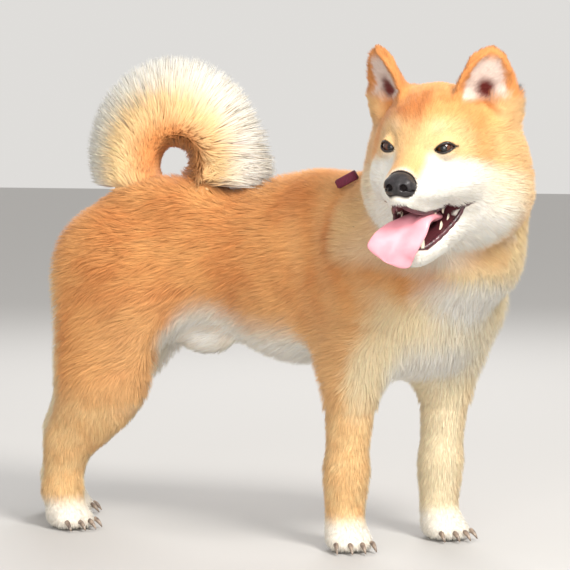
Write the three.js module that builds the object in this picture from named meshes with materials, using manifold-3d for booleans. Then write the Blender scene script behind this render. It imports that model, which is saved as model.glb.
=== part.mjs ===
// A life-size standing shiba inu: it looks back past its right shoulder with its mouth open and its tail curled
// over its back. The solids reach out to the tips of the coat.
// Millimetres. +X runs towards the front of the dog, +Y to its left, +Z up. The soles stand on z = 0.

import * as THREE from "three";
import { mergeVertices } from "three/addons/utils/BufferGeometryUtils.js";
import Module from "manifold-3d";

const wasm = await Module();
wasm.setup();

// Driving sizes

const GAP = 0.4; // between neighbouring solids
const SLIVER = 0.06; // shorter edges than this, left by a cut, are closed up
const CELL = { body: 26, nose: 5.5 }; // how finely the netted surfaces are faceted

const FOOT = {
  fore_R: [58, 27],
  fore_L: [122, 140],
  hind_R: [-291, 28],
  hind_L: [-349, 124],
};
const PAW_HEADING = { fore_R: -48, fore_L: -32, hind_R: -22, hind_L: -8 }; // degrees from +X

const HEAD_PLACE = [184, -30, 424]; // the middle of the skull
const HEAD_YAW = -90; // degrees from +X, the way the face looks
const HEAD_PITCH = 4.5; // degrees, nose down
const HEAD_ROLL = -1.2;

const CHEST_TURN = -20; // degrees, the chest against the pelvis

const TAIL_CURL = [-170, 82, 418]; // the middle of the ring that the tail makes
const TAIL_CORE = { long: 68, high: 66 }; // the tail's own line round that point
const TAIL_BRUSH = { deep: 44, across: 41, plume: 9 }; // the coat round that line, and how much longer it is behind

// Finishes

const material = (color, roughness) => new THREE.MeshStandardMaterial({ color, roughness, metalness: 0 });
const FINISH = {
  red: material(0xe8a468, 0.9),
  pale: material(0xf6e6cd, 0.9),
  leather: material(0x2b2422, 0.45),
  tongue: material(0xf0a0ac, 0.4),
  eye: material(0x4a2c1a, 0.1),
  collar: material(0x6d1a38, 0.7),
};

const V = (x, y, z) => new THREE.Vector3(x, y, z);
const radians = THREE.MathUtils.degToRad;
const mix = THREE.MathUtils.lerp;
const both = (make) => [1, -1].map(make); // the left one, then the right one

// Implicit shapes. Each is a function of a point that is negative inside and about a distance in millimetres.

/** An ellipsoid, turned by yaw about Z and pitch about its own Y, in degrees. */
function egg([x, y, z], [rx, ry, rz], yaw = 0, pitch = 0) {
  const turn = new THREE.Quaternion()
    .setFromEuler(new THREE.Euler(0, radians(pitch), radians(yaw), "ZYX"))
    .invert();
  return (p) => {
    const q = V(p.x - x, p.y - y, p.z - z).applyQuaternion(turn);
    const near = Math.hypot(q.x / rx, q.y / ry, q.z / rz);
    const steep = Math.hypot(q.x / rx ** 2, q.y / ry ** 2, q.z / rz ** 2);
    return steep > 0 ? (near * (near - 1)) / steep : -Math.min(rx, ry, rz);
  };
}

/** A tapered length with round ends from a to b, squeezed across (along Y) to the share `flat` of its width. */
function limb([ax, ay, az], ra, [bx, by, bz], rb, flat = 1) {
  const along = V(bx - ax, by - ay, bz - az);
  const length2 = along.lengthSq();
  return (p) => {
    const q = V(p.x - ax, p.y - ay, p.z - az);
    const t = THREE.MathUtils.clamp(q.dot(along) / length2, 0, 1);
    q.addScaledVector(along, -t);
    return (Math.hypot(q.x, q.y / flat, q.z) - mix(ra, rb, t)) * flat;
  };
}

/** The union of shapes, with a fillet of about k where they meet. */
function blend(k, ...shapes) {
  return (p) =>
    shapes
      .map((shape) => shape(p))
      .reduce((a, b) => Math.min(a, b) - Math.max(k - Math.abs(a - b), 0) ** 2 / (4 * k));
}

const union = (...shapes) => (p) => Math.min(...shapes.map((shape) => shape(p)));

// Meshes from those shapes

/** Lays a net of quads over a shape's surface: a point in each cell that the surface crosses, drawn onto it. */
function net(shape, low, high, cell) {
  const size = [0, 1, 2].map((i) => Math.ceil((high[i] - low[i]) / cell) + 1);
  const at = (i, j, k) => V(low[0] + i * cell, low[1] + j * cell, low[2] + k * cell);
  const index = (i, j, k) => (k * size[1] + j) * size[0] + i;
  const value = new Float64Array(size[0] * size[1] * size[2]);
  const each = (visit, most) => {
    for (let k = 0; k < most[2]; k++)
      for (let j = 0; j < most[1]; j++) for (let i = 0; i < most[0]; i++) visit(i, j, k);
  };
  each((i, j, k) => (value[index(i, j, k)] = shape(at(i, j, k))), size);

  const points = [];
  const pointOf = new Map();
  each((i, j, k) => {
    const middle = V(0, 0, 0);
    let crossings = 0;
    for (let axis = 0; axis < 3; axis++)
      for (let side = 0; side < 4; side++) {
        const from = [i, j, k];
        from[(axis + 1) % 3] += side & 1;
        from[(axis + 2) % 3] += side >> 1;
        const to = [...from];
        to[axis] += 1;
        const [a, b] = [value[index(...from)], value[index(...to)]];
        if (a < 0 === b < 0) continue;
        middle.add(at(...from).lerp(at(...to), a / (a - b)));
        crossings += 1;
      }
    if (!crossings) return;
    pointOf.set(index(i, j, k), points.length);
    points.push(drawnOnto(shape, middle.divideScalar(crossings)));
  }, size.map((n) => n - 1));

  const faces = [];
  each((i, j, k) => {
    for (let axis = 0; axis < 3; axis++) {
      const to = [i, j, k];
      to[axis] += 1;
      if (to[axis] >= size[axis]) continue;
      const inside = value[index(i, j, k)] < 0;
      if (inside === value[index(...to)] < 0) continue;
      const [u, v] = [(axis + 1) % 3, (axis + 2) % 3];
      const quad = [[0, 0], [1, 0], [1, 1], [0, 1]].map(([du, dv]) => {
        const cellAt = [i, j, k];
        cellAt[u] -= du;
        cellAt[v] -= dv;
        return pointOf.get(index(...cellAt));
      });
      const [a, b, c, d] = inside ? quad : quad.toReversed();
      if (points[a].distanceTo(points[c]) < points[b].distanceTo(points[d])) faces.push(a, b, c, a, c, d);
      else faces.push(a, b, d, b, c, d);
    }
  }, size);
  return new THREE.BufferGeometry().setFromPoints(points).setIndex(faces);
}

/** Moves a point down or up the slope of a shape's field until it is on the surface. */
function drawnOnto(shape, point) {
  const step = 0.5;
  for (let pass = 0; pass < 3; pass++) {
    const here = shape(point);
    const slope = V(
      shape(V(point.x + step, point.y, point.z)) - here,
      shape(V(point.x, point.y + step, point.z)) - here,
      shape(V(point.x, point.y, point.z + step)) - here,
    ).divideScalar(step);
    point.addScaledVector(slope, (-0.8 * here) / Math.max(slope.lengthSq(), 0.3));
  }
  return point;
}

/** The same mesh with every corner moved out by the gap, or in if it is negative, to cut its neighbours with. */
function swollen(mesh, by = GAP) {
  const copy = mesh.clone();
  copy.computeVertexNormals();
  const { position, normal } = copy.attributes;
  for (let i = 0; i < position.count; i++) {
    const corner = V(0, 0, 0).fromBufferAttribute(position, i);
    corner.addScaledVector(V(0, 0, 0).fromBufferAttribute(normal, i), by);
    position.setXYZ(i, ...corner.toArray());
  }
  return copy;
}

/** How far from a point along a way a shape's surface lies. */
function reach(shape, from, way, most = 240) {
  const at = (r) => shape(from.clone().addScaledVector(way, r));
  let [inside, outside] = [0, 4];
  while (outside < most && at(outside) < 0) {
    inside = outside;
    outside += 4;
  }
  for (let halving = 0; halving < 12; halving++) {
    const middle = (inside + outside) / 2;
    if (at(middle) < 0) inside = middle;
    else outside = middle;
  }
  return outside;
}

/**
 * Wraps a shape in rings round a spine that runs inside it: rays leave the spine and stop at the surface.
 * across is the way of each ring's first ray. The ends are closed by domes of `dome` smaller rings.
 */
function wrap(shape, spine, { rings, sides, dome = 2, across = V(0, 1, 0) }) {
  const curve = spine.length > 2 ? new THREE.CatmullRomCurve3(spine) : new THREE.LineCurve3(...spine);
  const ring = (t, lean) => {
    const from = curve.getPointAt(t);
    const ahead = curve.getTangentAt(t);
    const first = across.clone().addScaledVector(ahead, -across.dot(ahead)).normalize();
    const second = ahead.clone().cross(first);
    return Array.from({ length: sides }, (_, j) => {
      const turn = (2 * Math.PI * j) / sides;
      const way = first
        .clone()
        .multiplyScalar(Math.cos(turn) * Math.cos(lean))
        .addScaledVector(second, Math.sin(turn) * Math.cos(lean))
        .addScaledVector(ahead, Math.sin(lean));
      return from.clone().addScaledVector(way, reach(shape, from, way));
    });
  };
  const pole = (t, sign) => {
    const way = curve.getTangentAt(t).multiplyScalar(sign);
    return curve.getPointAt(t).addScaledVector(way, reach(shape, curve.getPointAt(t), way));
  };
  const leans = Array.from({ length: dome }, (_, i) => ((i + 1) / (dome + 1)) * (Math.PI / 2));
  const all = [
    ...leans.toReversed().map((lean) => ring(0, -lean)),
    ...Array.from({ length: rings }, (_, i) => ring(i / (rings - 1), 0)),
    ...leans.map((lean) => ring(1, lean)),
  ];
  return loft(all, pole(0, -1), pole(1, 1));
}

/** A closed geometry from rings of equally many points, closed at each end by a point. */
function loft(rings, start, end) {
  const sides = rings[0].length;
  const points = [start, ...rings.flat(), end];
  const faces = [];
  for (let j = 0; j < sides; j++) {
    const k = (j + 1) % sides;
    faces.push(0, 1 + k, 1 + j);
    for (let i = 0; i + 1 < rings.length; i++) {
      const [a, b] = [1 + i * sides, 1 + (i + 1) * sides];
      faces.push(a + j, a + k, b + j, b + j, a + k, b + k);
    }
    const last = 1 + (rings.length - 1) * sides;
    faces.push(points.length - 1, last + j, last + k);
  }
  return new THREE.BufferGeometry().setFromPoints(points).setIndex(faces);
}

// Cuts and joins

function solid(geometry) {
  const bare = geometry.clone();
  for (const name of ["normal", "uv"]) bare.deleteAttribute(name);
  const merged = mergeVertices(bare, 1e-3);
  return new wasm.Manifold(
    new wasm.Mesh({
      numProp: 3,
      vertProperties: merged.attributes.position.array,
      triVerts: new Uint32Array(merged.index.array),
    }),
  );
}

function geometry(cut) {
  const mesh = cut.simplify(SLIVER).getMesh();
  return new THREE.BufferGeometry()
    .setAttribute("position", new THREE.BufferAttribute(mesh.vertProperties, 3))
    .setIndex(new THREE.BufferAttribute(mesh.triVerts, 1));
}

const without = (body, ...cutters) =>
  geometry(cutters.reduce((left, cutter) => left.subtract(solid(cutter)), solid(body)));
const within = (body, ...keepers) =>
  geometry(keepers.reduce((left, keeper) => left.intersect(solid(keeper)), solid(body)));
const joined = (...bodies) => geometry(bodies.map(solid).reduce((a, b) => a.add(b)));

/** A box from one corner to the other. */
function block(low, high) {
  const [x, y, z] = [0, 1, 2].map((i) => high[i] - low[i]);
  return new THREE.BoxGeometry(x, y, z).translate(low[0] + x / 2, low[1] + y / 2, low[2] + z / 2);
}

/** Everything on the side of a plane that `towards` points to, out to a metre. */
function beyond(place, towards) {
  const side = 1000;
  const box = new THREE.BoxGeometry(side, side, side).translate(0, 0, side / 2);
  box.applyQuaternion(new THREE.Quaternion().setFromUnitVectors(V(0, 0, 1), towards.clone().normalize()));
  return box.translate(place.x, place.y, place.z);
}

/** A smooth ball of three sizes, used to part a limb from the trunk. */
const ball = ([x, y, z], [rx, ry, rz], grow = 0) =>
  new THREE.SphereGeometry(1, 14, 9).rotateX(Math.PI / 2).scale(rx + grow, ry + grow, rz + grow).translate(x, y, z);

// Trunk and neck: croup, loin, ribs, a chest that turns to the dog's right, and the sheath under the belly

const trunkShape = blend(
  30,
  egg([-236, 77, 300], [76, 72, 80]),
  egg([-150, 86, 306], [96, 68, 88]),
  egg([-22, 93, 297], [122, 78, 111], CHEST_TURN / 2),
  egg([112, 92, 268], [92, 80, 92], CHEST_TURN),
  egg([40, 94, 346], [92, 56, 60], CHEST_TURN),
);
const sheathShape = egg([-140, 84, 218], [34, 15, 18]);

const neckShape = blend(
  26,
  limb([92, 90, 316], 84, [170, 58, 392], 88),
  egg([176, 60, 320], [74, 76, 66], CHEST_TURN),
);
const NECK_AXIS = V(0.707, -0.182, 0.684); // from the shoulders to the head
const COLLAR = { place: V(87, 72, 350), radius: 62, wide: 13, thick: 4 };

/** The collar's strap, a hoop of rectangular section that turns round the neck's axis. */
function hoop(grow) {
  const [r, t, w] = [COLLAR.radius, COLLAR.thick / 2 + grow, COLLAR.wide / 2 + grow];
  const section = [[r - t, -w], [r + t, -w], [r + t, w], [r - t, w], [r - t, -w]];
  const band = new THREE.LatheGeometry(section.map((at) => new THREE.Vector2(...at)), 32);
  band.applyQuaternion(new THREE.Quaternion().setFromUnitVectors(V(0, 1, 0), NECK_AXIS.clone().normalize()));
  return band.translate(...COLLAR.place.toArray());
}

// Legs

const SHOULDER = { R: [78, 34], L: [134, 142] };
const HIP = { R: [-244, 34], L: [-258, 122] };
const ELBOW_LEVEL = 164;
const KNEE_LEVEL = 166;
const PAW_TOP = 32;

function foreShape(side) {
  const out = side === "R" ? -1 : 1;
  const [sx, sy] = SHOULDER[side];
  const [x, y] = FOOT["fore_" + side];
  return blend(
    20,
    egg([sx - 8, sy, 296], [58, 38, 74], CHEST_TURN),
    limb([sx + 26, sy, 262], 46, [x + 12, y + out * 2, 196], 40, 0.86),
    egg([x - 8, y, 206], [28, 24, 26]),
    limb([x + 9, y, 205], 36, [x + 2, y, 78], 25, 0.92),
    limb([x + 2, y, 80], 25, [x, y, 20], 22),
  );
}

function hindShape(side) {
  const [hx, hy] = HIP[side];
  const [x, y] = FOOT["hind_" + side];
  return blend(
    20,
    egg([hx, hy, 276], [72, 36, 82]),
    limb([hx + 34, hy, 236], 56, [x + 56, y, 168], 54, 0.66),
    egg([x + 26, y, 216], [40, 32, 56]),
    limb([x + 48, y, 168], 51, [x + 35, y, 134], 39, 0.74),
    limb([x + 34, y, 138], 37, [x + 8, y, 98], 28, 0.82),
    limb([x + 4, y, 92], 28, [x - 1, y, 44], 21.5, 0.92),
    limb([x - 1, y, 44], 22, [x + 2, y, 20], 22),
  );
}

const TOE = { length: 17, wide: 10, high: 12, spread: 12, step: 7, reach: 27 };

/** The four toes of a paw, from its own right to its left. */
function toes([x, y], heading) {
  const [c, s] = [Math.cos(radians(heading)), Math.sin(radians(heading))];
  return [-1.5, -0.5, 0.5, 1.5].map((across) => {
    const ahead = TOE.reach - TOE.step * (Math.abs(across) - 0.5);
    return {
      place: [x + ahead * c - across * TOE.spread * s, y + ahead * s + across * TOE.spread * c, 10],
      yaw: heading + across * 7,
    };
  });
}

function pawShape([x, y], heading) {
  const [c, s] = [Math.cos(radians(heading)), Math.sin(radians(heading))];
  return blend(
    6,
    egg([x + 6 * c, y + 6 * s, 20], [27, 24, 24], heading),
    egg([x + 8 * c, y + 8 * s, 10], [26, 25, 13], heading),
    limb([x, y, 50], 22, [x, y, 22], 22),
    ...toes([x, y], heading).map(({ place, yaw }) => egg(place, [TOE.length, TOE.wide, TOE.high], yaw, 14)),
  );
}

const CLAW = { length: 11, radius: 3, level: 8 };

function claw({ place: [x, y], yaw }) {
  const cone = new THREE.ConeGeometry(CLAW.radius, CLAW.length, 6);
  cone.rotateZ(-Math.PI / 2).rotateY(radians(24)).rotateZ(radians(yaw));
  const out = TOE.length + 1;
  return cone.translate(x + out * Math.cos(radians(yaw)), y + out * Math.sin(radians(yaw)), CLAW.level);
}

function paw(foot, heading) {
  const [x, y] = foot;
  const [c, s] = [Math.cos(radians(heading)), Math.sin(radians(heading))];
  const spine = [V(x - 6 * c, y - 6 * s, 16), V(x + 24 * c, y + 24 * s, 11)];
  const body = wrap(pawShape(foot, heading), spine, { rings: 5, sides: 14, across: V(-s, c, 0) });
  const whole = joined(body, ...toes(foot, heading).map(claw));
  return within(whole, block([x - 200, y - 200, 0], [x + 200, y + 200, PAW_TOP - GAP]));
}

// Tail: a brush of coat round an arch, longest on the outside of the curl

const TAIL_FROM = 214; // degrees round the curl, from +X
const TAIL_TO = -24;
const PLUME_AT = 128; // where the coat of the tail is longest
const TAIL_PARTS = { tail_base: [300, 141], tail_curl: [140.7, 62], tail_tip: [61.7, -80] };

const tailPoint = (angle, out = 0) =>
  V(
    TAIL_CURL[0] + (TAIL_CORE.long + out) * Math.cos(radians(angle)),
    TAIL_CURL[1],
    TAIL_CURL[2] + (TAIL_CORE.high + out) * Math.sin(radians(angle)),
  );

const tailShape = blend(
  16,
  ...Array.from({ length: 12 }, (_, i) => {
    const angle = mix(TAIL_FROM, TAIL_TO, i / 11);
    const plume = TAIL_BRUSH.plume * Math.max(0, Math.cos(radians(angle - PLUME_AT)));
    const brush = [TAIL_BRUSH.deep + plume / 2, TAIL_BRUSH.across, 34];
    return egg(tailPoint(angle, plume / 2).toArray(), brush, 0, -angle);
  }),
);

/** A wedge of everything between two angles round the tail's curl. */
function tailWedge([from, to]) {
  const far = 600;
  const angles = Array.from({ length: 4 }, (_, i) => radians(mix(from, to, i / 3)));
  const corners = angles.map((a) => new THREE.Vector2(far * Math.cos(a), far * Math.sin(a)));
  const outline = new THREE.Shape([new THREE.Vector2(0, 0), ...corners]);
  const wedge = new THREE.ExtrudeGeometry(outline, { depth: far, bevelEnabled: false }).rotateX(Math.PI / 2);
  return wedge.translate(TAIL_CURL[0], TAIL_CURL[1] + far / 2, TAIL_CURL[2]);
}

// Head, in its own frame: +X is the way the face looks, +Y its left, +Z up

const headShape = blend(
  14,
  egg([-30, 0, 0], [62, 88, 68]),
  egg([-34, 0, -38], [62, 99, 72]),
  egg([-8, 0, 16], [62, 58, 60]),
  egg([28, 0, 18], [36, 42, 38]),
  ...both((s) => egg([22, s * 34, -20], [32, 28, 28])),
  limb([50, 0, -7], 25, [84, 0, -18], 17.5),
  ...both((s) => egg([75, s * 12, -28.5], [26, 14, 12.5], s * -8)),
  ...both((s) => egg([52, s * 22, -29], [32, 14, 13], s * -14)),
);

const EYE = { place: [46, 28.5, 12], radius: 10.5 };

const noseShape = blend(
  4,
  egg([99, 0, -17], [9.5, 14.5, 9]),
  ...both((s) => egg([99.5, s * 8, -21], [9, 8, 9])),
  egg([100.5, 0, -27], [7, 7, 9]),
);

/** The open mouth, between the palate and the lower jaw. */
const gapeShape = blend(
  8,
  limb([18, 0, -49], 9, [96, 0, -55], 15, 1),
  ...both((s) => limb([22, s * 30, -46], 7, [64, s * 12, -59], 14)),
);

const jawShape = blend(
  10,
  ...both((s) => limb([4, s * 26, -62], 22, [60, s * 10, -92], 11.5)),
  limb([0, 0, -78], 28, [64, 0, -94], 12),
);

const TONGUE = {
  spine: [V(14, 0, -62), V(44, 0, -65), V(64, -4, -70), V(82, -14, -81), V(99, -26, -93)],
  halfWidth: 16.5,
  thick: 3.4,
};

const LOWER_TEETH = both((s) => [
  { place: [65, s * 11, -83], radius: 2.6, height: 11, lean: [0.15, s * 0.25, 1] },
  { place: [52, s * 18, -76], radius: 2.2, height: 6, lean: [0, s * 0.1, 1] },
  { place: [43, s * 22, -71], radius: 2.6, height: 7, lean: [0, s * 0.1, 1] },
  { place: [33, s * 26, -65], radius: 3.2, height: 8, lean: [0, s * 0.1, 1] },
]).flat();

const EAR = {
  base: [-4, 51, 50],
  tip: [9, 66, 107],
  opens: [0.75, 0.62, 0.1], // the way its hollow faces, for the left ear
  halfWidth: 34,
  cup: 13,
  thick: 8,
};

function ear(side) {
  const mirror = ([x, y, z]) => V(x, y * side, z);
  const base = mirror(EAR.base);
  const up = mirror(EAR.tip).sub(base);
  const front = mirror(EAR.opens);
  front.addScaledVector(up, -front.dot(up) / up.lengthSq()).normalize();
  const wide = up.clone().cross(front).normalize();
  const across = Array.from({ length: 8 }, (_, i) => mix(-1, 1, i / 7));
  const row = (v) => {
    const half = EAR.halfWidth * (1 - Math.max(v, 0) ** 2.4) ** 0.75;
    const on = (u, back) => {
      const hollow = EAR.cup * (1 - u * u) * (1 - 0.55 * v);
      const thick = back * EAR.thick * (1 - 0.7 * u * u) * (1 - 0.5 * v);
      return base
        .clone()
        .addScaledVector(up, v)
        .addScaledVector(wide, u * half)
        .addScaledVector(front, -hollow - thick);
    };
    return [...across.map((u) => on(u, 0)), ...across.toReversed().map((u) => on(u, 1))];
  };
  const rings = [-0.3, 0, 0.25, 0.5, 0.7, 0.85, 0.96].map(row);
  const middle = rings[0].reduce((sum, p) => sum.add(p), V(0, 0, 0)).divideScalar(rings[0].length);
  const tip = base.clone().add(up).addScaledVector(front, -EAR.cup * 0.5);
  return loft(rings, middle, tip);
}

function tongue() {
  const curve = new THREE.CatmullRomCurve3(TONGUE.spine);
  const steps = 11;
  const rings = Array.from({ length: steps }, (_, i) => {
    const t = i / (steps - 1);
    const ahead = curve.getTangentAt(t);
    const wide = V(0, 1, 0).addScaledVector(ahead, -ahead.y).normalize();
    const top = ahead.clone().cross(wide);
    const half = TONGUE.halfWidth * Math.sqrt(Math.max(0.06, 1 - (2 * t - 1) ** 6));
    return Array.from({ length: 12 }, (_, j) => {
      const turn = (2 * Math.PI * j) / 12;
      const groove = 2.4 * (1 - Math.abs(Math.cos(turn)));
      return curve
        .getPointAt(t)
        .addScaledVector(wide, half * Math.cos(turn))
        .addScaledVector(top, TONGUE.thick * Math.sin(turn) - groove);
    });
  });
  return loft(rings, curve.getPointAt(0), curve.getPointAt(1));
}

/** A tooth: a blunt cone that stands at place. */
function tooth({ place: [x, y, z], radius, height, lean }) {
  const cone = new THREE.ConeGeometry(radius, height, 6);
  cone.applyQuaternion(new THREE.Quaternion().setFromUnitVectors(V(0, 1, 0), V(...lean).normalize()));
  return cone.translate(x, y, z);
}

// Putting it together

const dog = new THREE.Group();
const headFrame = new THREE.Group();
headFrame.position.set(...HEAD_PLACE);
headFrame.rotation.set(radians(HEAD_ROLL), radians(HEAD_PITCH), radians(HEAD_YAW), "ZYX");
headFrame.updateMatrix();
dog.add(headFrame);

function add(group, name, shape, finish) {
  const mesh = new THREE.Mesh(shape, finish);
  mesh.name = name;
  group.add(mesh);
}

const HEAD_SPINE = [V(-40, 0, -18), V(0, 0, -8), V(40, 0, -10), V(84, 0, -24)];
const HEAD_RINGS = { rings: 15, sides: 24, dome: 3 };
const headWhole = wrap(headShape, HEAD_SPINE, HEAD_RINGS);
const headCutter = swollen(headWhole);
const gape = wrap(gapeShape, [V(30, 0, -52), V(92, 0, -57)], { rings: 6, sides: 14 });

const eyeBall = (s, grow) =>
  new THREE.SphereGeometry(EYE.radius + grow, 10, 7).translate(EYE.place[0], s * EYE.place[1], EYE.place[2]);
const nose = net(noseShape, [80, -26, -46], [122, 26, 4], CELL.nose);

const head = without(headWhole, gape, ...both((s) => eyeBall(s, GAP)), swollen(nose));
add(headFrame, "head", head, FINISH.red);
add(headFrame, "nose", nose, FINISH.leather);
both((s) => add(headFrame, s > 0 ? "eye_L" : "eye_R", eyeBall(s, 0), FINISH.eye));
both((s) => add(headFrame, s > 0 ? "ear_L" : "ear_R", without(ear(s), headCutter), FINISH.red));

const lick = without(tongue(), without(headCutter, swollen(gape, -GAP)));
const jawWhole = wrap(jawShape, [V(4, 0, -72), V(62, 0, -93)], { rings: 7, sides: 16 });
const jaw = without(joined(without(jawWhole, headCutter, gape), ...LOWER_TEETH.map(tooth)), swollen(lick));
add(headFrame, "lower_jaw", jaw, FINISH.pale);
add(headFrame, "tongue", lick, FINISH.tongue);

const headInPlace = [headCutter, swollen(jawWhole)].map((cutter) => cutter.clone().applyMatrix4(headFrame.matrix));

const bodyShape = union(
  ...["R", "L"].map((side) => blend(26, blend(24, trunkShape, neckShape), foreShape(side), hindShape(side))),
  blend(14, trunkShape, sheathShape),
);
const body = net(bodyShape, [-420, -90, -30], [320, 240, 520], CELL.body);

const behindCollar = COLLAR.place.clone().addScaledVector(NECK_AXIS, -GAP);
const neck = without(within(body, beyond(COLLAR.place, NECK_AXIS)), ...headInPlace, hoop(GAP));
add(dog, "neck", neck, FINISH.pale);
add(dog, "collar", hoop(0), FINISH.collar);
let trunk = without(body, beyond(behindCollar, NECK_AXIS), ...headInPlace, hoop(GAP));

const LEG_SIDE = { R: [-120, 86], L: [87, 260] }; // each side's own half of the body
for (const side of ["R", "L"]) {
  const [low, high] = LEG_SIDE[side];
  const [fx, fy] = FOOT["fore_" + side];
  const [bx, by] = FOOT["hind_" + side];
  const foreSpine = [V(fx + 8, fy, ELBOW_LEVEL + 6), V(fx + 2, fy, 80), V(fx, fy, 26)];
  const hindSpine = [V(bx + 48, by, KNEE_LEVEL + 6), V(bx + 38, by, 134), V(bx + 6, by, 94), V(bx, by, 26)];
  const foreleg = wrap(bodyShape, foreSpine, { rings: 8, sides: 14 });
  const hindleg = wrap(bodyShape, hindSpine, { rings: 10, sides: 14 });
  const foreGap = block([-60, low - GAP, -60], [300, high + GAP, ELBOW_LEVEL + GAP]);
  const hindGap = block([-440, low - GAP, -60], [-100, high + GAP, KNEE_LEVEL + GAP]);
  const [sx, sy] = SHOULDER[side];
  const [hx, hy] = HIP[side];
  const shoulderBall = [[sx, sy - (side === "R" ? 30 : -30), 256], [66, 66, 96]];
  const hipBall = [[hx + 8, hy - (side === "R" ? 30 : -30), 262], [86, 66, 112]];

  const foreBlock = block([-60, low, PAW_TOP], [300, high, ELBOW_LEVEL]);
  const hindBlock = block([-440, low, PAW_TOP], [-100, high, KNEE_LEVEL]);
  add(dog, "foreleg_" + side, within(foreleg, foreBlock), FINISH.red);
  add(dog, "hindleg_" + side, within(hindleg, hindBlock), FINISH.red);
  add(dog, "forepaw_" + side, paw(FOOT["fore_" + side], PAW_HEADING["fore_" + side]), FINISH.pale);
  add(dog, "hindpaw_" + side, paw(FOOT["hind_" + side], PAW_HEADING["hind_" + side]), FINISH.pale);
  trunk = without(trunk, foreGap, hindGap);
  add(dog, "upper_foreleg_" + side, within(trunk, ball(...shoulderBall)), FINISH.red);
  add(dog, "thigh_" + side, within(trunk, ball(...hipBall)), FINISH.red);
  trunk = without(trunk, ball(...shoulderBall, GAP), ball(...hipBall, GAP));
}
add(dog, "trunk", trunk, FINISH.red);

const tailSpine = Array.from({ length: 9 }, (_, i) => tailPoint(mix(TAIL_FROM, TAIL_TO, i / 8)));
const tail = without(wrap(tailShape, tailSpine, { rings: 15, sides: 13 }), swollen(body));
for (const [name, angles] of Object.entries(TAIL_PARTS)) {
  add(dog, name, within(tail, tailWedge(angles)), FINISH.pale);
}

// The whole stands with the middle of its box over the origin

const middle = new THREE.Box3().setFromObject(dog, true).getCenter(V(0, 0, 0));
dog.position.set(-middle.x, -middle.y, 0);

const model = new THREE.Group();
model.add(dog);

export default model;
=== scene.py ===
"""A life-size shiba inu that looks back past its right shoulder. Metres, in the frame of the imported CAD.

One skin replaces the CAD solids of flesh. It lies inside them by the coat's depth, except on most of the ears
and parts of the lids, the flews, the sheath and the back below the tail. Those stand out of the solids by some
millimetres, and by up to 12 in the corner at the foot of the ear. A coat of solid tufts grows from the skin,
out to about the surface of the solids, and past it on the ears and behind their foot, on the flews and round
the root of the tail.
In the head's own frame x is the way the face looks, y is its left and z is up. smooth(low, high, value)
fades something in between two values: metres for a place, a cosine for a normal.
"""
import math

import bpy
import numpy as np
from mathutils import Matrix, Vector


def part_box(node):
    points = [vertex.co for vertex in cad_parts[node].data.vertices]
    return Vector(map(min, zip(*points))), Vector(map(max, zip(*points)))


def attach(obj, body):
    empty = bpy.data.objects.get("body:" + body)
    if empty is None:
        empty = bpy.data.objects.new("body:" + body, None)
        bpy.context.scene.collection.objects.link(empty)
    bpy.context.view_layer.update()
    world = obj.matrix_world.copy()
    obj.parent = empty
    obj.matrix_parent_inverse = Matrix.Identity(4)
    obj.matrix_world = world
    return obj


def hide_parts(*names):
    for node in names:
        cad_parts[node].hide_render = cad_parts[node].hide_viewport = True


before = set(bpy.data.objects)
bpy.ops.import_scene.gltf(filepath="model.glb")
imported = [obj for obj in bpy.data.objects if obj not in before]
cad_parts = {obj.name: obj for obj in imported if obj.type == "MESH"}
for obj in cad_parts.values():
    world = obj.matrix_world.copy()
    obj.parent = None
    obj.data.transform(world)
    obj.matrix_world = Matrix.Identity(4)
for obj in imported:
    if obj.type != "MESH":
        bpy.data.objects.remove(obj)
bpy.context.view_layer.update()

import openvdb as vdb
from mathutils import Euler, Matrix, Vector

SEED = 20
TAIL_SEED = 99

# Names of the CAD nodes

SIDES = {"R": -1.0, "L": 1.0}
LIMBS = [f"{part}_{side}" for side in SIDES for part in
         ("upper_foreleg", "foreleg", "forepaw", "thigh", "hindleg", "hindpaw")]
FLESH = ["trunk", "neck", "head", "lower_jaw", "ear_L", "ear_R", "tail_base", "tail_curl", "tail_tip"] + LIMBS

# Places worked out from the frame, and below them places chosen to fit the CAD model

def box_centre(node):
    low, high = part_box(node)
    return (Vector(low) + Vector(high)) / 2


EYES = {side: box_centre("eye_" + side) for side in SIDES}
EYE_RADIUS = 0.0105
HEAD_PITCH = math.radians(4.5)
HEAD_YAW = math.radians(-90.0)
HEAD_ROLL = math.radians(-1.2)
EYE_IN_HEAD = Vector((0.046, 0.0285, 0.012))  # the left eye, from the middle of the skull

HEAD_TURN = (Matrix.Rotation(HEAD_YAW, 3, "Z") @ Matrix.Rotation(HEAD_PITCH, 3, "Y")
             @ Matrix.Rotation(HEAD_ROLL, 3, "X"))
HEAD_MIDDLE = (EYES["L"] + EYES["R"]) / 2 - HEAD_TURN @ Vector((EYE_IN_HEAD.x, 0, EYE_IN_HEAD.z))
HEAD_MATRIX = np.array(HEAD_TURN)
HEAD_ORIGIN = np.array(HEAD_MIDDLE)


def to_head(points):
    """Row points in the head's own frame: x is the way the face looks, y its left, z up."""
    return (points - HEAD_ORIGIN) @ HEAD_MATRIX


def from_head(points):
    return np.asarray(points) @ HEAD_MATRIX.T + HEAD_ORIGIN


def head_way(ways):
    return np.asarray(ways) @ HEAD_MATRIX.T


TAIL_MIDDLE = HEAD_ORIGIN + np.array([-0.354, 0.112, -0.006])  # the middle of the tail's curl
TAIL_LINE = (0.072, 0.038)  # how far from that middle the tail's flesh runs, at its root and at its tip
TAIL_TURN = (math.radians(258), math.radians(-30))  # where round that middle it starts and ends
TAIL_FLESH = (0.024, 0.009)  # its radius at the root and at the tip
TAIL_STEPS = 16
TAIL_BLEND = 0.010
BRUSH = {"middle": 0.068, "deep": 0.044, "inside": 0.017, "across": 0.034, "plume": 0.009,
         "right": 0.012}  # the outline of its hair

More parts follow.
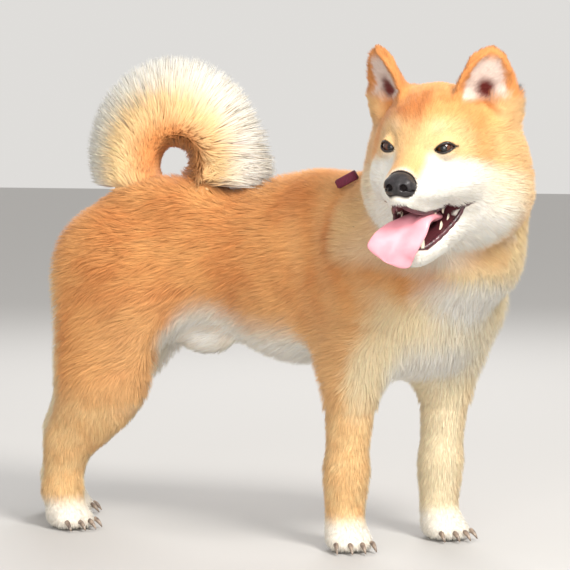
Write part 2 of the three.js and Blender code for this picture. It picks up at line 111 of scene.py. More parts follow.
NECK_WAY = np.array([0.707, -0.182, 0.684])  # along the neck, to the head
CHEST_WAY = np.array([0.94, -0.34, 0.0])  # the way the chest faces
SHEATH = {"place": (-0.085, 0.055, 0.220), "sizes": (0.034, 0.014, 0.018), "blend": 0.012}
LOIN = {"place": (-0.135, 0.054, 0.362), "sizes": (0.10, 0.052, 0.040), "coat": 0.009,
        "blend": 0.010}  # the back below the tail
FEET = {"fore_R": (0.10515, 0.0024, -48), "fore_L": (0.16915, 0.1154, -32),
        "hind_R": (-0.24385, 0.0034, -22), "hind_L": (-0.30185, 0.0994, -8)}  # x, y and heading in degrees


# Camera, lights and floor

IMAGE_SIDE = 570.0  # the photo's width and height in pixels
FOCAL_PIXELS = 2436.0
HORIZON_ROW = 130.0
SENSOR = 36.0
CLIP = (0.05, 50.0)
CAMERA_AT = Vector((1.14595, -2.3810, 0.45))
CAMERA_AZIMUTH = math.radians(25.0)
CAMERA_DIP = math.atan((IMAGE_SIDE / 2 - HORIZON_ROW) / FOCAL_PIXELS)
CAMERA_TURN = Euler((math.pi / 2 - CAMERA_DIP, 0.0, CAMERA_AZIMUTH), "XYZ")
LIGHT_AIM = (0.0, 0.0, 0.28)
LIGHTS = {
    "key": {"place": (1.9, -1.3, 2.3), "size": 0.9, "watts": 94.0, "colour": (1.0, 0.97, 0.92)},
    "fill": {"place": (0.9, -2.6, 0.9), "size": 1.8, "watts": 34.0, "colour": (1.0, 1.0, 1.0)},
    "rim": {"place": (-0.9, 2.2, 1.9), "size": 1.2, "watts": 30.0, "colour": (1.0, 1.0, 1.0)},
}
WORLD = {"colour": (1.0, 0.98, 0.95, 1.0), "strength": 0.74}
FLOOR = {"half": 14.0, "colour": (0.52, 0.51, 0.50, 1.0), "roughness": 0.85}


def add_camera():
    data = bpy.data.cameras.new("camera")
    data.sensor_fit = "HORIZONTAL"
    data.sensor_width = SENSOR
    data.lens = FOCAL_PIXELS / IMAGE_SIDE * SENSOR
    data.clip_start, data.clip_end = CLIP
    camera = bpy.data.objects.new("camera", data)
    camera.location = CAMERA_AT
    camera.rotation_euler = CAMERA_TURN
    bpy.context.scene.collection.objects.link(camera)
    bpy.context.scene.camera = camera


def add_area_light(name, spec):
    data = bpy.data.lights.new(name, "AREA")
    data.shape = "DISK"
    data.size = spec["size"]
    data.energy = spec["watts"]
    data.color = spec["colour"]
    light = bpy.data.objects.new(name, data)
    light.location = spec["place"]
    light.rotation_euler = (Vector(LIGHT_AIM) - Vector(spec["place"])).to_track_quat("-Z", "Y").to_euler()
    bpy.context.scene.collection.objects.link(light)


def add_world():
    world = bpy.data.worlds.new("studio")
    world.use_nodes = True
    background = world.node_tree.nodes["Background"]
    background.inputs["Color"].default_value = WORLD["colour"]
    background.inputs["Strength"].default_value = WORLD["strength"]
    bpy.context.scene.world = world


def show_plain_colours():
    """Shows colours as they are, without a film look."""
    bpy.context.scene.view_settings.view_transform = "Standard"


def add_floor():
    half = FLOOR["half"]
    mesh = bpy.data.meshes.new("floor")
    corners = [(-half, -half, 0), (half, -half, 0), (half, half, 0), (-half, half, 0)]
    mesh.from_pydata(corners, [], [(0, 1, 2, 3)])
    floor = bpy.data.objects.new("floor", mesh)
    bpy.context.scene.collection.objects.link(floor)
    material = bpy.data.materials.new("floor")
    material.use_nodes = True
    shader = material.node_tree.nodes["Principled BSDF"]
    shader.inputs["Base Color"].default_value = FLOOR["colour"]
    shader.inputs["Roughness"].default_value = FLOOR["roughness"]
    mesh.materials.append(material)


# Small tools

def smooth(low, high, value):
    """0 below low, 1 above high, and a smooth step between. high may be the smaller one."""
    t = np.clip((value - low) / (high - low), 0.0, 1.0)
    return t * t * (3 - 2 * t)


def unit(ways):
    return ways / np.maximum(np.linalg.norm(ways, axis=-1, keepdims=True), 1e-9)


def left_half(h):
    """Places in the head's frame, with those on its right mirrored to its left."""
    return np.stack([h[..., 0], np.abs(h[..., 1]), h[..., 2]], -1)


def blob(points, centre, sizes):
    """1 at the middle of an ellipsoid and 0 from its surface outwards."""
    away = np.linalg.norm((points - np.asarray(centre)) / np.asarray(sizes), axis=-1)
    return smooth(1.0, 0.0, away)


def blob_pair(h, centre, sizes):
    """The same on both sides of the head."""
    return np.maximum(blob(h, centre, sizes), blob(h, np.array(centre) * (1, -1, 1), sizes))


def new_mesh(name, points, faces):
    """A mesh object from arrays of points and of faces that all have equally many corners."""
    points = np.ascontiguousarray(points, dtype=np.float32)
    faces = np.ascontiguousarray(faces, dtype=np.int32)
    sides = faces.shape[1]
    mesh = bpy.data.meshes.new(name)
    mesh.vertices.add(len(points))
    mesh.vertices.foreach_set("co", points.ravel())
    mesh.loops.add(faces.size)
    mesh.loops.foreach_set("vertex_index", faces.ravel())
    mesh.polygons.add(len(faces))
    mesh.polygons.foreach_set("loop_start", np.arange(0, faces.size, sides, dtype=np.int32))
    mesh.polygons.foreach_set("use_smooth", np.full(len(faces), True))
    mesh.update(calc_edges=True)
    piece = bpy.data.objects.new(name, mesh)
    bpy.context.scene.collection.objects.link(piece)
    return piece


def paint(piece, colours):
    """Stores one colour for each vertex under the name `coat`."""
    rgba = np.ones((len(colours), 4), dtype=np.float32)
    rgba[:, :3] = colours
    layer = piece.data.color_attributes.new("coat", "FLOAT_COLOR", "POINT")
    layer.data.foreach_set("color", rgba.ravel())


def finish_piece(piece, material, slot, *nodes):
    piece.data.materials.append(material)
    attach(piece, "root")
    if nodes:
        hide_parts(*nodes)


# The body as a field of distances on a grid

VOXEL = 0.003
BAND = 14  # voxels on each side of the surface that hold a true distance
CLOSE = 0.0012  # gaps narrower than twice this are closed
SOUP_BAND = 3.0
MARGIN = 6


def node_soup(names):
    """The points and triangles of several CAD nodes as one soup."""
    points, triangles, start = [], [], 0
    for name in names:
        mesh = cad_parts[name].data
        co = np.empty(len(mesh.vertices) * 3, dtype=np.float32)
        mesh.vertices.foreach_get("co", co)
        mesh.calc_loop_triangles()
        tri = np.empty(len(mesh.loop_triangles) * 3, dtype=np.int32)
        mesh.loop_triangles.foreach_get("vertices", tri)
        points.append(co.reshape(-1, 3))
        triangles.append(tri.reshape(-1, 3) + start)
        start += len(mesh.vertices)
    return np.concatenate(points), np.concatenate(triangles)


def outward(points, faces):
    """The faces turned so that they enclose a positive volume."""
    a, b, c = (points[faces[:, i]] for i in range(3))
    volume = np.einsum("ij,ij->", a, np.cross(b, c))
    return faces if volume > 0 else faces[:, ::-1]


def surface_of(values, low, voxel):
    """Points and quads where a grid of distances is 0. low is the index of its first corner."""
    grid = vdb.FloatGrid(float(values.max()))
    grid.transform = vdb.createLinearTransform(voxelSize=voxel)
    grid.gridClass = vdb.GridClass.LEVEL_SET
    grid.copyFromArray(np.ascontiguousarray(values, dtype=np.float32), ijk=tuple(int(i) for i in low))
    points, quads = grid.convertToQuads(isovalue=0.0)
    return points, outward(points, quads.astype(np.int32))


def blurred(field, reach):
    """The field blurred by two passes of a box that goes reach voxels to each side."""
    for axis in (0, 1, 2):
        for _ in range(2):
            first = np.repeat(np.take(field, [0], axis), reach + 1, axis)
            last = np.repeat(np.take(field, [-1], axis), reach, axis)
            total = np.cumsum(np.concatenate([first, field, last], axis), axis, dtype=np.float64)
            high = np.take(total, range(2 * reach + 1, total.shape[axis]), axis)
            low = np.take(total, range(0, total.shape[axis] - 2 * reach - 1), axis)
            field = ((high - low) / (2 * reach + 1)).astype(np.float32)
    return field


def outline_field(names):
    """Distances to the outside of these nodes, negative inside, and the index of the grid's first corner."""
    transform = vdb.createLinearTransform(voxelSize=VOXEL)
    points, triangles = node_soup(names)
    soup = vdb.FloatGrid.createLevelSetFromPolygons(points, triangles=triangles, transform=transform,
                                                    halfWidth=SOUP_BAND)
    shell, quads = soup.convertToQuads(isovalue=CLOSE)
    whole = vdb.FloatGrid.createLevelSetFromPolygons(shell, quads=quads, transform=transform,
                                                     halfWidth=float(BAND))
    low = np.floor(points.min(0) / VOXEL).astype(int) - MARGIN
    size = np.ceil(points.max(0) / VOXEL).astype(int) + MARGIN - low
    values = np.full(size, BAND * VOXEL, dtype=np.float32)
    whole.copyToArray(values, ijk=tuple(int(i) for i in low))
    return values + np.float32(CLOSE), low


def sampled(values, low, points):
    """A grid's values at points between its own."""
    at = points / VOXEL - low
    base = np.clip(np.floor(at).astype(int), 0, np.array(values.shape) - 2)
    part = np.clip(at - base, 0.0, 1.0)
    total = 0.0
    for corner in range(8):
        step = np.array([corner & 1, corner >> 1 & 1, corner >> 2])
        weight = np.prod(np.where(step, part, 1 - part), axis=-1)
        total = total + weight * values[tuple(np.moveaxis(base + step, -1, 0))]
    return total


def soft_least(a, b, soft):
    """The smaller of two distances, blended where they differ by less than soft."""
    t = np.clip(0.5 + 0.5 * (b - a) / soft, 0.0, 1.0)
    return b + (a - b) * t - soft * t * (1 - t)


def to_segment(points, a, b):
    """Distances to a segment, and how far along it the nearest place is, from 0 to 1."""
    a, b = np.asarray(a, dtype=float), np.asarray(b, dtype=float)
    t = np.clip((points - a) @ (b - a) / ((b - a) @ (b - a)), 0.0, 1.0)
    return np.linalg.norm(points - a - t[..., None] * (b - a), axis=-1), t


# Where the head ends and how deep the coat is

def in_head(points):
    """1 on the face and the skull, 0 on the neck and the chest."""
    h = to_head(points)
    return smooth(-0.075, -0.035, h[..., 0]) * smooth(-0.125, -0.105, h[..., 2]) * \
        smooth(0.135, 0.115, np.abs(h[..., 1]))


def in_ear(points):
    h = to_head(points)
    return smooth(0.050, 0.060, h[..., 2]) * smooth(0.022, 0.032, np.abs(h[..., 1]))


BODY_DEPTH = {"foot": 0.0025, "leg": 0.003, "trunk": 0.005, "breech": 0.007, "neck": 0.009}
FACE_DEPTH = {"muzzle": 0.0010, "brow": 0.0012, "ruff": 0.010, "crown": 0.003}
BREECH = {"place": (-0.30, 0.04, 0.25), "sizes": (0.10, 0.12, 0.12)}
NECK = {"place": (0.14, 0.02, 0.34), "sizes": (0.14, 0.16, 0.13)}


def coat_depth(points):
    """How far the skin lies inside the coat's outline."""
    z = points[..., 2]
    depth = BODY_DEPTH["foot"] + BODY_DEPTH["leg"] * smooth(0.035, 0.07, z)
    depth = depth + BODY_DEPTH["trunk"] * smooth(0.13, 0.22, z)
    depth = depth + BODY_DEPTH["breech"] * blob(points, BREECH["place"], BREECH["sizes"])
    depth = depth + BODY_DEPTH["neck"] * blob(points, NECK["place"], NECK["sizes"])
    h = to_head(points)
    x, y, high = h[..., 0], np.abs(h[..., 1]), h[..., 2]
    face = FACE_DEPTH["muzzle"] + FACE_DEPTH["brow"] * smooth(0.070, 0.035, x)
    ruff = smooth(0.035, -0.035, x) * np.maximum(smooth(0.035, 0.075, y), smooth(-0.02, -0.08, high))
    crown = FACE_DEPTH["crown"] * smooth(0.01, -0.05, x)
    face = (face + crown + FACE_DEPTH["ruff"] * ruff) * (1 - in_ear(points))
    return depth + (face - depth) * in_head(points)


# The tail's flesh, a tapered spiral

def tail_point(turn):
    """A place on the tail's own line, with turn from 0 at its root to 1 at its tip."""
    angle = TAIL_TURN[0] + (TAIL_TURN[1] - TAIL_TURN[0]) * turn
    reach = TAIL_LINE[1] + (TAIL_LINE[0] - TAIL_LINE[1]) * (1 - smooth(0.0, 0.55, turn))
    return TAIL_MIDDLE + np.stack([reach * np.cos(angle), 0 * angle, reach * np.sin(angle)], -1)


def tail_field(points):
    """Distances to the tail's flesh."""
    turns = np.linspace(0, 1, TAIL_STEPS + 1)
    line = tail_point(turns)
    radii = TAIL_FLESH[0] + (TAIL_FLESH[1] - TAIL_FLESH[0]) * turns
    best = np.full(points.shape[:-1], 1.0)
    for i in range(TAIL_STEPS):
        away, t = to_segment(points, line[i], line[i + 1])
        best = np.minimum(best, away - radii[i] - (radii[i + 1] - radii[i]) * t)
    return best


# The ears' own frame, for the left one. The right one mirrors it

EAR_BASE = np.array([-0.004, 0.051, 0.050])
EAR_UP = np.array([0.013, 0.015, 0.057])
EAR_HIGH = float(np.linalg.norm(EAR_UP))
EAR_OPENS = np.array([0.75, 0.62, 0.1])  # the way it faces
EAR_FRONT = unit(EAR_OPENS - EAR_UP * (EAR_OPENS @ EAR_UP) / EAR_HIGH ** 2)
EAR_WIDE = np.cross(EAR_UP / EAR_HIGH, EAR_FRONT)
EAR_HALF = 0.034
EAR_DISC = {"high": 0.66, "tall": 0.021, "wide": 0.023, "back": 0.008, "thick": 0.0042}  # rounds its top


def in_ear_frame(h):
    """Height up the ear from 0 to 1, the way across it from -1 to 1 and the distance before it."""
    place = left_half(h) - EAR_BASE
    high = place @ EAR_UP / EAR_HIGH ** 2
    half = EAR_HALF * (1 - np.clip(high, 0, 0.97) ** 2.4) ** 0.75
    return high, place @ EAR_WIDE / half, place @ EAR_FRONT


def ear_top(h):
    """Distances to a flat disc that rounds the top of the ear."""
    place = left_half(h) - EAR_BASE - EAR_UP * EAR_DISC["high"]
    flat = np.stack([place @ EAR_UP / EAR_HIGH / EAR_DISC["tall"], place @ EAR_WIDE / EAR_DISC["wide"],
                     (place @ EAR_FRONT + EAR_DISC["back"]) / EAR_DISC["thick"]], -1)
    return (np.linalg.norm(flat, axis=-1) - 1) * EAR_DISC["thick"]


# The face: eyelids, brow, furrow and room for the nose

EYE_LOOKS = (0.36, 0.10)  # how far outwards and up for one part ahead
LID = {"radius": 0.0122, "wide": 0.0104, "top": 0.0050, "bottom": 0.0041, "slant": 0.20}


def eye_axes(side):
    """The way the eye opening looks, the way to its outer corner, and up, in the head's frame."""
    out = SIDES[side]
    ahead = np.array([1.0, EYE_LOOKS[0] * out, EYE_LOOKS[1]])
    ahead = ahead / np.linalg.norm(ahead)
    outer = np.cross(np.cross(ahead, (0, out, 0)), ahead)
    outer = outer / np.linalg.norm(outer)
    up = np.cross(ahead, outer) * out
    return ahead, outer, up


EYE_HEAD = {side: to_head(np.array(EYES[side])) for side in SIDES}
EYE_AXES = {side: eye_axes(side) for side in SIDES}


def in_eye_frame(h, side):
    offset = h - EYE_HEAD[side]
    return [offset @ axis for axis in EYE_AXES[side]]


def lid_gap(outer, up):
    """How far a place in front of the eye is outside the almond between the lids."""
    level = up - LID["slant"] * outer
    arch = np.maximum(1 - (outer / LID["wide"]) ** 2, -0.6)
    return np.maximum(level - LID["top"] * arch, -LID["bottom"] * arch - level)


UPPER_LIP = np.array([(100, -39.5, 2), (94, -45, 8), (72, -51, 16), (46, -49, 22), (25, -42.5, 30),
                      (20, -43, 40)]) / 1000  # head x, z and half width
LOWER_LIP = np.array([(20, -43, 40), (29, -62, 32), (54, -81, 20), (66, -89, 10)]) / 1000
FLEW = {"lift": 0.0065, "inward": 0.0035, "radius": 0.0062, "blend": 0.008}  # flesh along the upper lip
JAW_EDGE = {"lift": -0.0065, "inward": 0.0035, "radius": 0.0062, "blend": 0.006}  # and along the lower one
CHIN_FRONT = (0.0675, -0.0905, 0.0)
EAR_CORNER = {"top": (-0.022, 0.067, 0.050), "foot": (-0.034, 0.062, 0.012), "radius": 0.012, "blend": 0.016}
FURROW = {"deep": 0.0011, "half": 0.006}
NOSE_ROOM = {"deep": 0.0035, "middle": (0.100, 0.0, -0.021), "sizes": (0.022, 0.022, 0.019)}
SOCKET = {"deep": 0.0022, "reach": 0.022, "edge": 0.013, "blend": 0.006, "front": 0.0015}
EAR_BLEND = 0.003


def lip_flesh(h, line, spec):
    """Distances to a rounded ridge that follows a lip's line on both sides of the face."""
    path = [(x, max(w - spec["inward"], 0.0), z + spec["lift"]) for x, z, w in line]
    away = [to_segment(left_half(h), a, b)[0] for a, b in zip(path, path[1:])]
    return np.min(away, axis=0) - spec["radius"]


def with_eye(field, h, side):
    """The skin's distances with a socket, the eyelids and the opening between them."""
    ahead, outer, up = in_eye_frame(h, side)
    away = np.sqrt(ahead ** 2 + outer ** 2 + up ** 2)
    field = field + SOCKET["deep"] * smooth(SOCKET["reach"], SOCKET["edge"], away) * smooth(0.0, 0.008, ahead)
    field = soft_least(field, away - LID["radius"], SOCKET["blend"])
    opening = np.maximum(lid_gap(outer, up), SOCKET["front"] - ahead)
    return np.maximum(field, -opening)


def sculpted(points, base):
    """The skin's distances with the features of the face added."""
    h = to_head(points)
    x, y, z = h[..., 0], h[..., 1], h[..., 2]
    furrow = FURROW["deep"] * np.exp(-(y / FURROW["half"]) ** 2)
    field = base + furrow * smooth(0.02, 0.05, z) * smooth(-0.02, 0.02, x)
    field = field + NOSE_ROOM["deep"] * blob(h, NOSE_ROOM["middle"], NOSE_ROOM["sizes"])
    field = soft_least(field, ear_top(h), EAR_BLEND)
    corner, _ = to_segment(left_half(h), EAR_CORNER["top"], EAR_CORNER["foot"])
    field = soft_least(field, corner - EAR_CORNER["radius"], EAR_CORNER["blend"])
    field = soft_least(field, lip_flesh(h, UPPER_LIP[:4], FLEW), FLEW["blend"])
    chin = np.concatenate([LOWER_LIP[1:], [CHIN_FRONT]])
    field = soft_least(field, lip_flesh(h, chin, JAW_EDGE), JAW_EDGE["blend"])
    for side in SIDES:
        field = with_eye(field, h, side)
    return field


# One skin for all the nodes of flesh

SHORT_COAT = 0.0030  # how far the tips may stand out where the coat is shortest
EAR_SWELL = 0.0022
FINE_FACES = ((0.000, 0.130), (0.030, 0.125))  # least head x and reach from the skull's middle, twice
PROJECTION = {"rounds": 3, "probe": 0.0006, "longest": 0.0012, "flattest": 0.15}


def grid_points(values, low):
    axes = [(low[i] + np.arange(values.shape[i])) * VOXEL for i in range(3)]
    return np.stack(np.meshgrid(*axes, indexing="ij"), -1).astype(np.float32)


def ellipsoid(places, spec):
    """Rough distances to an ellipsoid."""
    return (np.linalg.norm((places - spec["place"]) / spec["sizes"], axis=-1) - 1) * min(spec["sizes"])


def skin_field():
    """The skin's distances before the face is sculpted, and the coat's outline, on one grid."""
    outline, low = outline_field([name for name in FLESH if not name.startswith("tail")]
                                 + ["eye_L", "eye_R", "nose"])
    places = grid_points(outline, low)
    slight, strong = blurred(outline, 1), blurred(outline, 3)
    slight += (outline - slight) * 0.6 * in_ear(places)
    torso = smooth(0.14, 0.20, places[..., 2]) * (1 - in_head(places))
    ears = in_ear(places) * in_head(places)
    field = slight + (strong - slight) * torso - EAR_SWELL * ears
    field = field + coat_depth(places)
    loin = ellipsoid(places, LOIN)
    field = soft_least(field, loin + LOIN["coat"], LOIN["blend"])
    field = soft_least(field, tail_field(places), TAIL_BLEND)
    field = soft_least(field, ellipsoid(places, SHEATH), SHEATH["blend"])
    return field.astype(np.float32), soft_least(blurred(outline, 2), loin, LOIN["blend"]), low, places


def split_quads(points, quads, chosen):
    """Each chosen quad becomes four. Quads beside them become triangles, so that no crack opens."""
    picked, rest = quads[chosen], quads[~chosen]
    edges = np.sort(np.stack([picked, np.roll(picked, -1, 1)], -1).reshape(-1, 2), 1)
    keys = edges[:, 0].astype(np.int64) * len(points) + edges[:, 1]
    unique, first, back = np.unique(keys, return_index=True, return_inverse=True)
    middles = points[edges[first]].mean(1)
    centres = points[picked].mean(1)
    mid = len(points) + back.reshape(-1, 4)
    centre = len(points) + len(unique) + np.arange(len(picked))
    fours = [np.stack([picked[:, i], mid[:, i], centre, mid[:, i - 1]], 1) for i in range(4)]

    rest_edges = np.sort(np.stack([rest, np.roll(rest, -1, 1)], -1), -1)
    rest_keys = rest_edges[..., 0].astype(np.int64) * len(points) + rest_edges[..., 1]
    slot = np.clip(np.searchsorted(unique, rest_keys), 0, len(unique) - 1)
    cut = unique[slot] == rest_keys
    beside = cut.any(1)
    ring = rest[beside]
    hub = len(points) + len(unique) + len(picked) + np.arange(len(ring))
    triangles = []
    for i in range(4):
        a, b = ring[:, i], ring[:, (i + 1) % 4]
        m, broken = slot[beside][:, i] + len(points), cut[beside][:, i]
        triangles.append(np.stack([a, b, hub], 1)[~broken])
        triangles.append(np.stack([a, m, hub], 1)[broken])
        triangles.append(np.stack([m, b, hub], 1)[broken])
    points = np.concatenate([points, middles, centres, points[ring].mean(1)])
    return points, np.concatenate(fours), rest[~beside], np.concatenate(triangles)


def settled(points, moving, height):
    """Moves the chosen points on to the surface where height is 0."""
    probe = PROJECTION["probe"]
    for _ in range(PROJECTION["rounds"]):
        at = points[moving]
        now = height(at)
        slope = np.stack([height(at + way) - height(at - way) for way in np.eye(3) * probe], 1) / (2 * probe)
        shift = -(now / np.maximum((slope ** 2).sum(1), PROJECTION["flattest"]))[:, None] * slope
        size = np.linalg.norm(shift, axis=1, keepdims=True)
        points[moving] = at + shift * np.minimum(1, PROJECTION["longest"] / np.maximum(size, 1e-9))
    return points


def build_skin():
    """The skin's points and triangles, finest on the face, with its field and the coat's outline."""
    field, outline, low, places = skin_field()
    near = in_head(places) > 0
    face = field.copy()
    face[near] = sculpted(places[near], field[near])
    outline = np.minimum(outline, face - SHORT_COAT)
    points, quads = surface_of(face, low, VOXEL)
    triangles = []
    for front, reach in FINE_FACES:
        middle = to_head(points[quads].mean(1))
        chosen = (middle[:, 0] > front) & (np.linalg.norm(middle, axis=1) < reach)
        points, quads, others, beside = split_quads(points, quads, chosen)
        triangles += [others[:, [0, 1, 2]], others[:, [0, 2, 3]], beside]
    triangles += [quads[:, [0, 1, 2]], quads[:, [0, 2, 3]]]
    points = points.astype(float)
    moving = np.nonzero(in_head(points) > 0.02)[0]
    points = settled(points, moving, lambda at: sculpted(at, sampled(field, low, at)))
    return points, np.concatenate(triangles), field, outline, low


def point_normals(points, triangles):
    a, b, c = (points[triangles[:, i]] for i in range(3))
    face = np.cross(b - a, c - a)
    normals = np.zeros_like(points)
    for i in range(3):
        for axis in range(3):
            normals[:, axis] += np.bincount(triangles[:, i], face[:, axis], len(points))
    return unit(normals)


NOSE = {"middle": (0.0945, 0.0, -0.0215), "sizes": (0.0140, 0.0158, 0.0136), "voxel": 0.0006,
        "box": ((0.074, -0.022, -0.046), (0.116, 0.022, 0.000))}


# Markings

def srgb(red, green, blue):
    """A linear colour from the usual 0 to 255."""
    share = np.array([red, green, blue]) / 255.0
    return np.where(share <= 0.04045, share / 12.92, ((share + 0.055) / 1.055) ** 2.4)


RED = srgb(240, 170, 104)
DEEP = srgb(212, 130, 70)
CREAM = srgb(246, 210, 154)
WHITE = srgb(255, 247, 234)
IVORY = srgb(251, 230, 192)
BLACK = srgb(26, 18, 18)
INNER_EAR = srgb(244, 218, 204)
# painted shade for the ear canal, which has no hole of its own
EAR_CANAL_SHADE = srgb(120, 44, 38)
# the mouth's lining: dark red, and darker still as painted shade inside the mouth
LINING_WITH_SHADE = srgb(70, 24, 30)


class Waves:
    """Smooth noise from -1 to 1, made of waves in random directions."""

    def __init__(self, length, seed, count=14):
        rng = np.random.default_rng(seed)
        self.ways = unit(rng.normal(size=(count, 3))) * (2 * math.pi / length)
        self.ways *= rng.uniform(0.6, 1.7, (count, 1))
        self.starts = rng.uniform(0, 2 * math.pi, count)

    def __call__(self, points):
        return np.sin(points @ self.ways.T + self.starts).sum(-1) / math.sqrt(len(self.starts))


PATCHES = Waves(0.10, 1)
STREAKS = Waves(0.022, 2)
FLECKS = Waves(0.009, 3)


def mix(a, b, share):
    return a + (b - a) * np.clip(share, 0, 1)[..., None]


def mouth_inside(h, ways):
    """1 on the lining of the mouth: between the lines of the lips, on the palate and on the mouth's floor."""
    x, y, z = h[..., 0], np.abs(h[..., 1]), h[..., 2]
    top, top_width = (np.interp(x, UPPER_LIP[::-1, 0], UPPER_LIP[::-1, i]) for i in (1, 2))
    bottom, bottom_width = (np.interp(x, LOWER_LIP[:, 0], LOWER_LIP[:, i]) for i in (1, 2))
    between = smooth(top + 0.001, top - 0.001, z) * smooth(bottom - 0.001, bottom + 0.001, z)
    palate = smooth(top_width - 0.001, top_width - 0.004, y) * smooth(top + 0.016, top + 0.012, z)
    palate = palate * (z > bottom) * smooth(-0.2, -0.5, ways[..., 2])
    floor = smooth(bottom_width, bottom_width - 0.003, y) * smooth(bottom - 0.010, bottom - 0.007, z)
    floor = floor * (z < top) * smooth(0.2, 0.5, ways[..., 2])
    inside = np.maximum(between, np.maximum(palate, floor))
    return inside * smooth(0.017, 0.020, x) * smooth(0.106, 0.100, x)


BANDS = {"way": np.array([0.9, -0.2, 0.3]), "apart": 0.034, "waver": 0.6, "strength": 0.35}
PALE_NECK = ((0.13, 0.02, 0.33), (0.14, 0.17, 0.15))
SHEATH_WHITE = (0.06, 0.05, 0.03)
LEGS_APART = {"fore": 0.060, "hind": 0.050}  # where the middle between left and right legs lies
BROW = ((0.036, 0.020, 0.032), (0.030, 0.014, 0.012))
EAR_CANAL = ((-0.004, 0.052, 0.066), (0.020, 0.013, 0.020))
EYE_RING_FLATTER = np.array((1, 1, 1.15))
EYE_LINE = 0.0016
CHEEK_EDGE = ((-0.04, 0.0, 0.04, 0.07), (-0.030, -0.012, -0.002, 0.010))  # head x, and its top's height


def body_colour(points, normals):
    x, z = points[..., 0], points[..., 2]
    colour = mix(RED, DEEP, 0.28 + 0.30 * PATCHES(points) + 0.16 * STREAKS(points))
    low_flank = smooth(0.30, 0.20, z) * smooth(-0.24, -0.10, x)
    colour = mix(colour, CREAM, 0.45 * low_flank)
    chest = smooth(0.25, 0.75, normals @ CHEST_WAY) * smooth(0.02, 0.11, x) * smooth(0.44, 0.34, z)
    colour = mix(colour, CREAM, chest)
    colour = mix(colour, IVORY, 0.8 * chest * smooth(0.36, 0.26, z))
    neck = blob(points, *PALE_NECK) * (1 - chest)
    turns = points @ BANDS["way"] * (2 * math.pi / BANDS["apart"])
    bands = 0.5 + 0.5 * np.sin(turns + BANDS["waver"] * PATCHES(points))
    colour = mix(colour, CREAM, BANDS["strength"] * neck * bands)
    colour = mix(colour, WHITE, 1.5 * blob(points, SHEATH["place"], SHEATH_WHITE))
    colour = mix(colour, WHITE, smooth(-0.25, -0.75, normals[..., 2]) * smooth(0.10, 0.15, z))
    breech = smooth(0.35, 0.85, -normals[..., 0]) * smooth(0.12, 0.18, z) * smooth(0.33, 0.26, z)
    colour = mix(colour, CREAM, breech * smooth(-0.18, -0.24, x))
    return with_legs(colour, points, normals)


def with_legs(colour, points, normals):
    """Cream legs, ivory on their inner sides and on the left foreleg, with white paws."""
    x, y, z = points[..., 0], points[..., 1], points[..., 2]
    leg = smooth(0.19, 0.12, z)
    colour = mix(colour, mix(CREAM, RED, 0.35 + 0.1 * STREAKS(points)), leg)
    middle = np.where(x > 0, LEGS_APART["fore"], LEGS_APART["hind"])
    inner = smooth(0.1, 0.6, normals[..., 1] * np.sign(middle - y)) * smooth(0.24, 0.18, z)
    colour = mix(colour, IVORY, 0.85 * inner)
    left_fore = smooth(0.07, 0.085, y) * smooth(0.05, 0.08, x) * leg
    colour = mix(colour, IVORY, 0.7 * left_fore)
    return mix(colour, WHITE, 0.9 * smooth(0.045, 0.022, z))


def with_eye_marks(colour, h):
    """A pale ring and brow, and a dark line from the outer corner."""
    offsets = [h * EYE_RING_FLATTER - EYE_HEAD[side] * EYE_RING_FLATTER for side in SIDES]
    away = np.minimum(*[np.linalg.norm(offset, axis=-1) for offset in offsets])
    colour = mix(colour, CREAM, 0.6 * smooth(0.044, 0.016, away))
    colour = mix(colour, WHITE, 0.3 * blob_pair(h, *BROW))
    for side in SIDES:
        ahead, outer, up = in_eye_frame(h, side)
        line = np.exp(-((up - LID["slant"] * outer) / EYE_LINE) ** 2) * smooth(0.007, 0.010, outer)
        colour = mix(colour, BLACK, 0.85 * line * smooth(0.0200, 0.0150, outer) * (ahead > 0))
    return colour


def with_cheeks(colour, h):
    """White cheeks, lips and chin that turn cream towards the neck."""
    x, y, z = h[..., 0], np.abs(h[..., 1]), h[..., 2]
    bridge = smooth(0.022, 0.012, y) * smooth(-0.026, -0.014, z) * smooth(0.098, 0.088, x)
    edge = np.interp(x, *CHEEK_EDGE)
    cheek = smooth(edge + 0.010, edge - 0.008, z) * (1 - bridge)
    colour = mix(colour, WHITE, cheek * smooth(-0.045, -0.005, x))
    colour = mix(colour, CREAM, 0.8 * cheek * smooth(-0.005, -0.045, x))
    colour = mix(colour, WHITE, smooth(-0.045, -0.060, z) * smooth(-0.03, 0.01, x))
    return mix(colour, CREAM, 0.6 * smooth(0.050, 0.075, y) * smooth(-0.075, -0.02, z))


def with_ears(colour, points, normals, h):
    """Deep orange ears, pale inside, with painted shade at the canal, where no hole is carved."""
    ear = in_ear(points)
    colour = mix(colour, mix(RED, DEEP, 0.55), ear)
    up_ear, across_ear, _ = in_ear_frame(h)
    rim = np.abs(across_ear) + 0.12 * (across_ear > 0) + 0.06 * FLECKS(points)
    edge = np.maximum(rim, up_ear - 0.12)
    inside = ear * smooth(-0.1, 0.35, head_normal_ahead(normals, h)) * smooth(0.84, 0.62, edge)
    inside = inside * smooth(0.02, 0.16, up_ear)
    colour = mix(colour, INNER_EAR, inside)
    # painted shade where the canal goes in
    return mix(colour, EAR_CANAL_SHADE, 1.6 * blob_pair(h, *EAR_CANAL) * inside)


def head_colour(points, normals):
    h = to_head(points)
    x, z = h[..., 0], h[..., 2]
    colour = mix(RED, DEEP, 0.18 + 0.25 * PATCHES(points) + 0.22 * STREAKS(points))
    furrow = np.exp(-(h[..., 1] / 0.007) ** 2) * smooth(0.015, 0.035, z) * smooth(0.0, 0.03, x)
    colour = mix(colour, DEEP * 0.85, 0.75 * furrow)
    colour = mix(colour, CREAM, 0.40 * smooth(0.01, 0.05, x) * smooth(0.050, 0.030, z))
    return with_ears(with_cheeks(with_eye_marks(colour, h), h), points, normals, h)


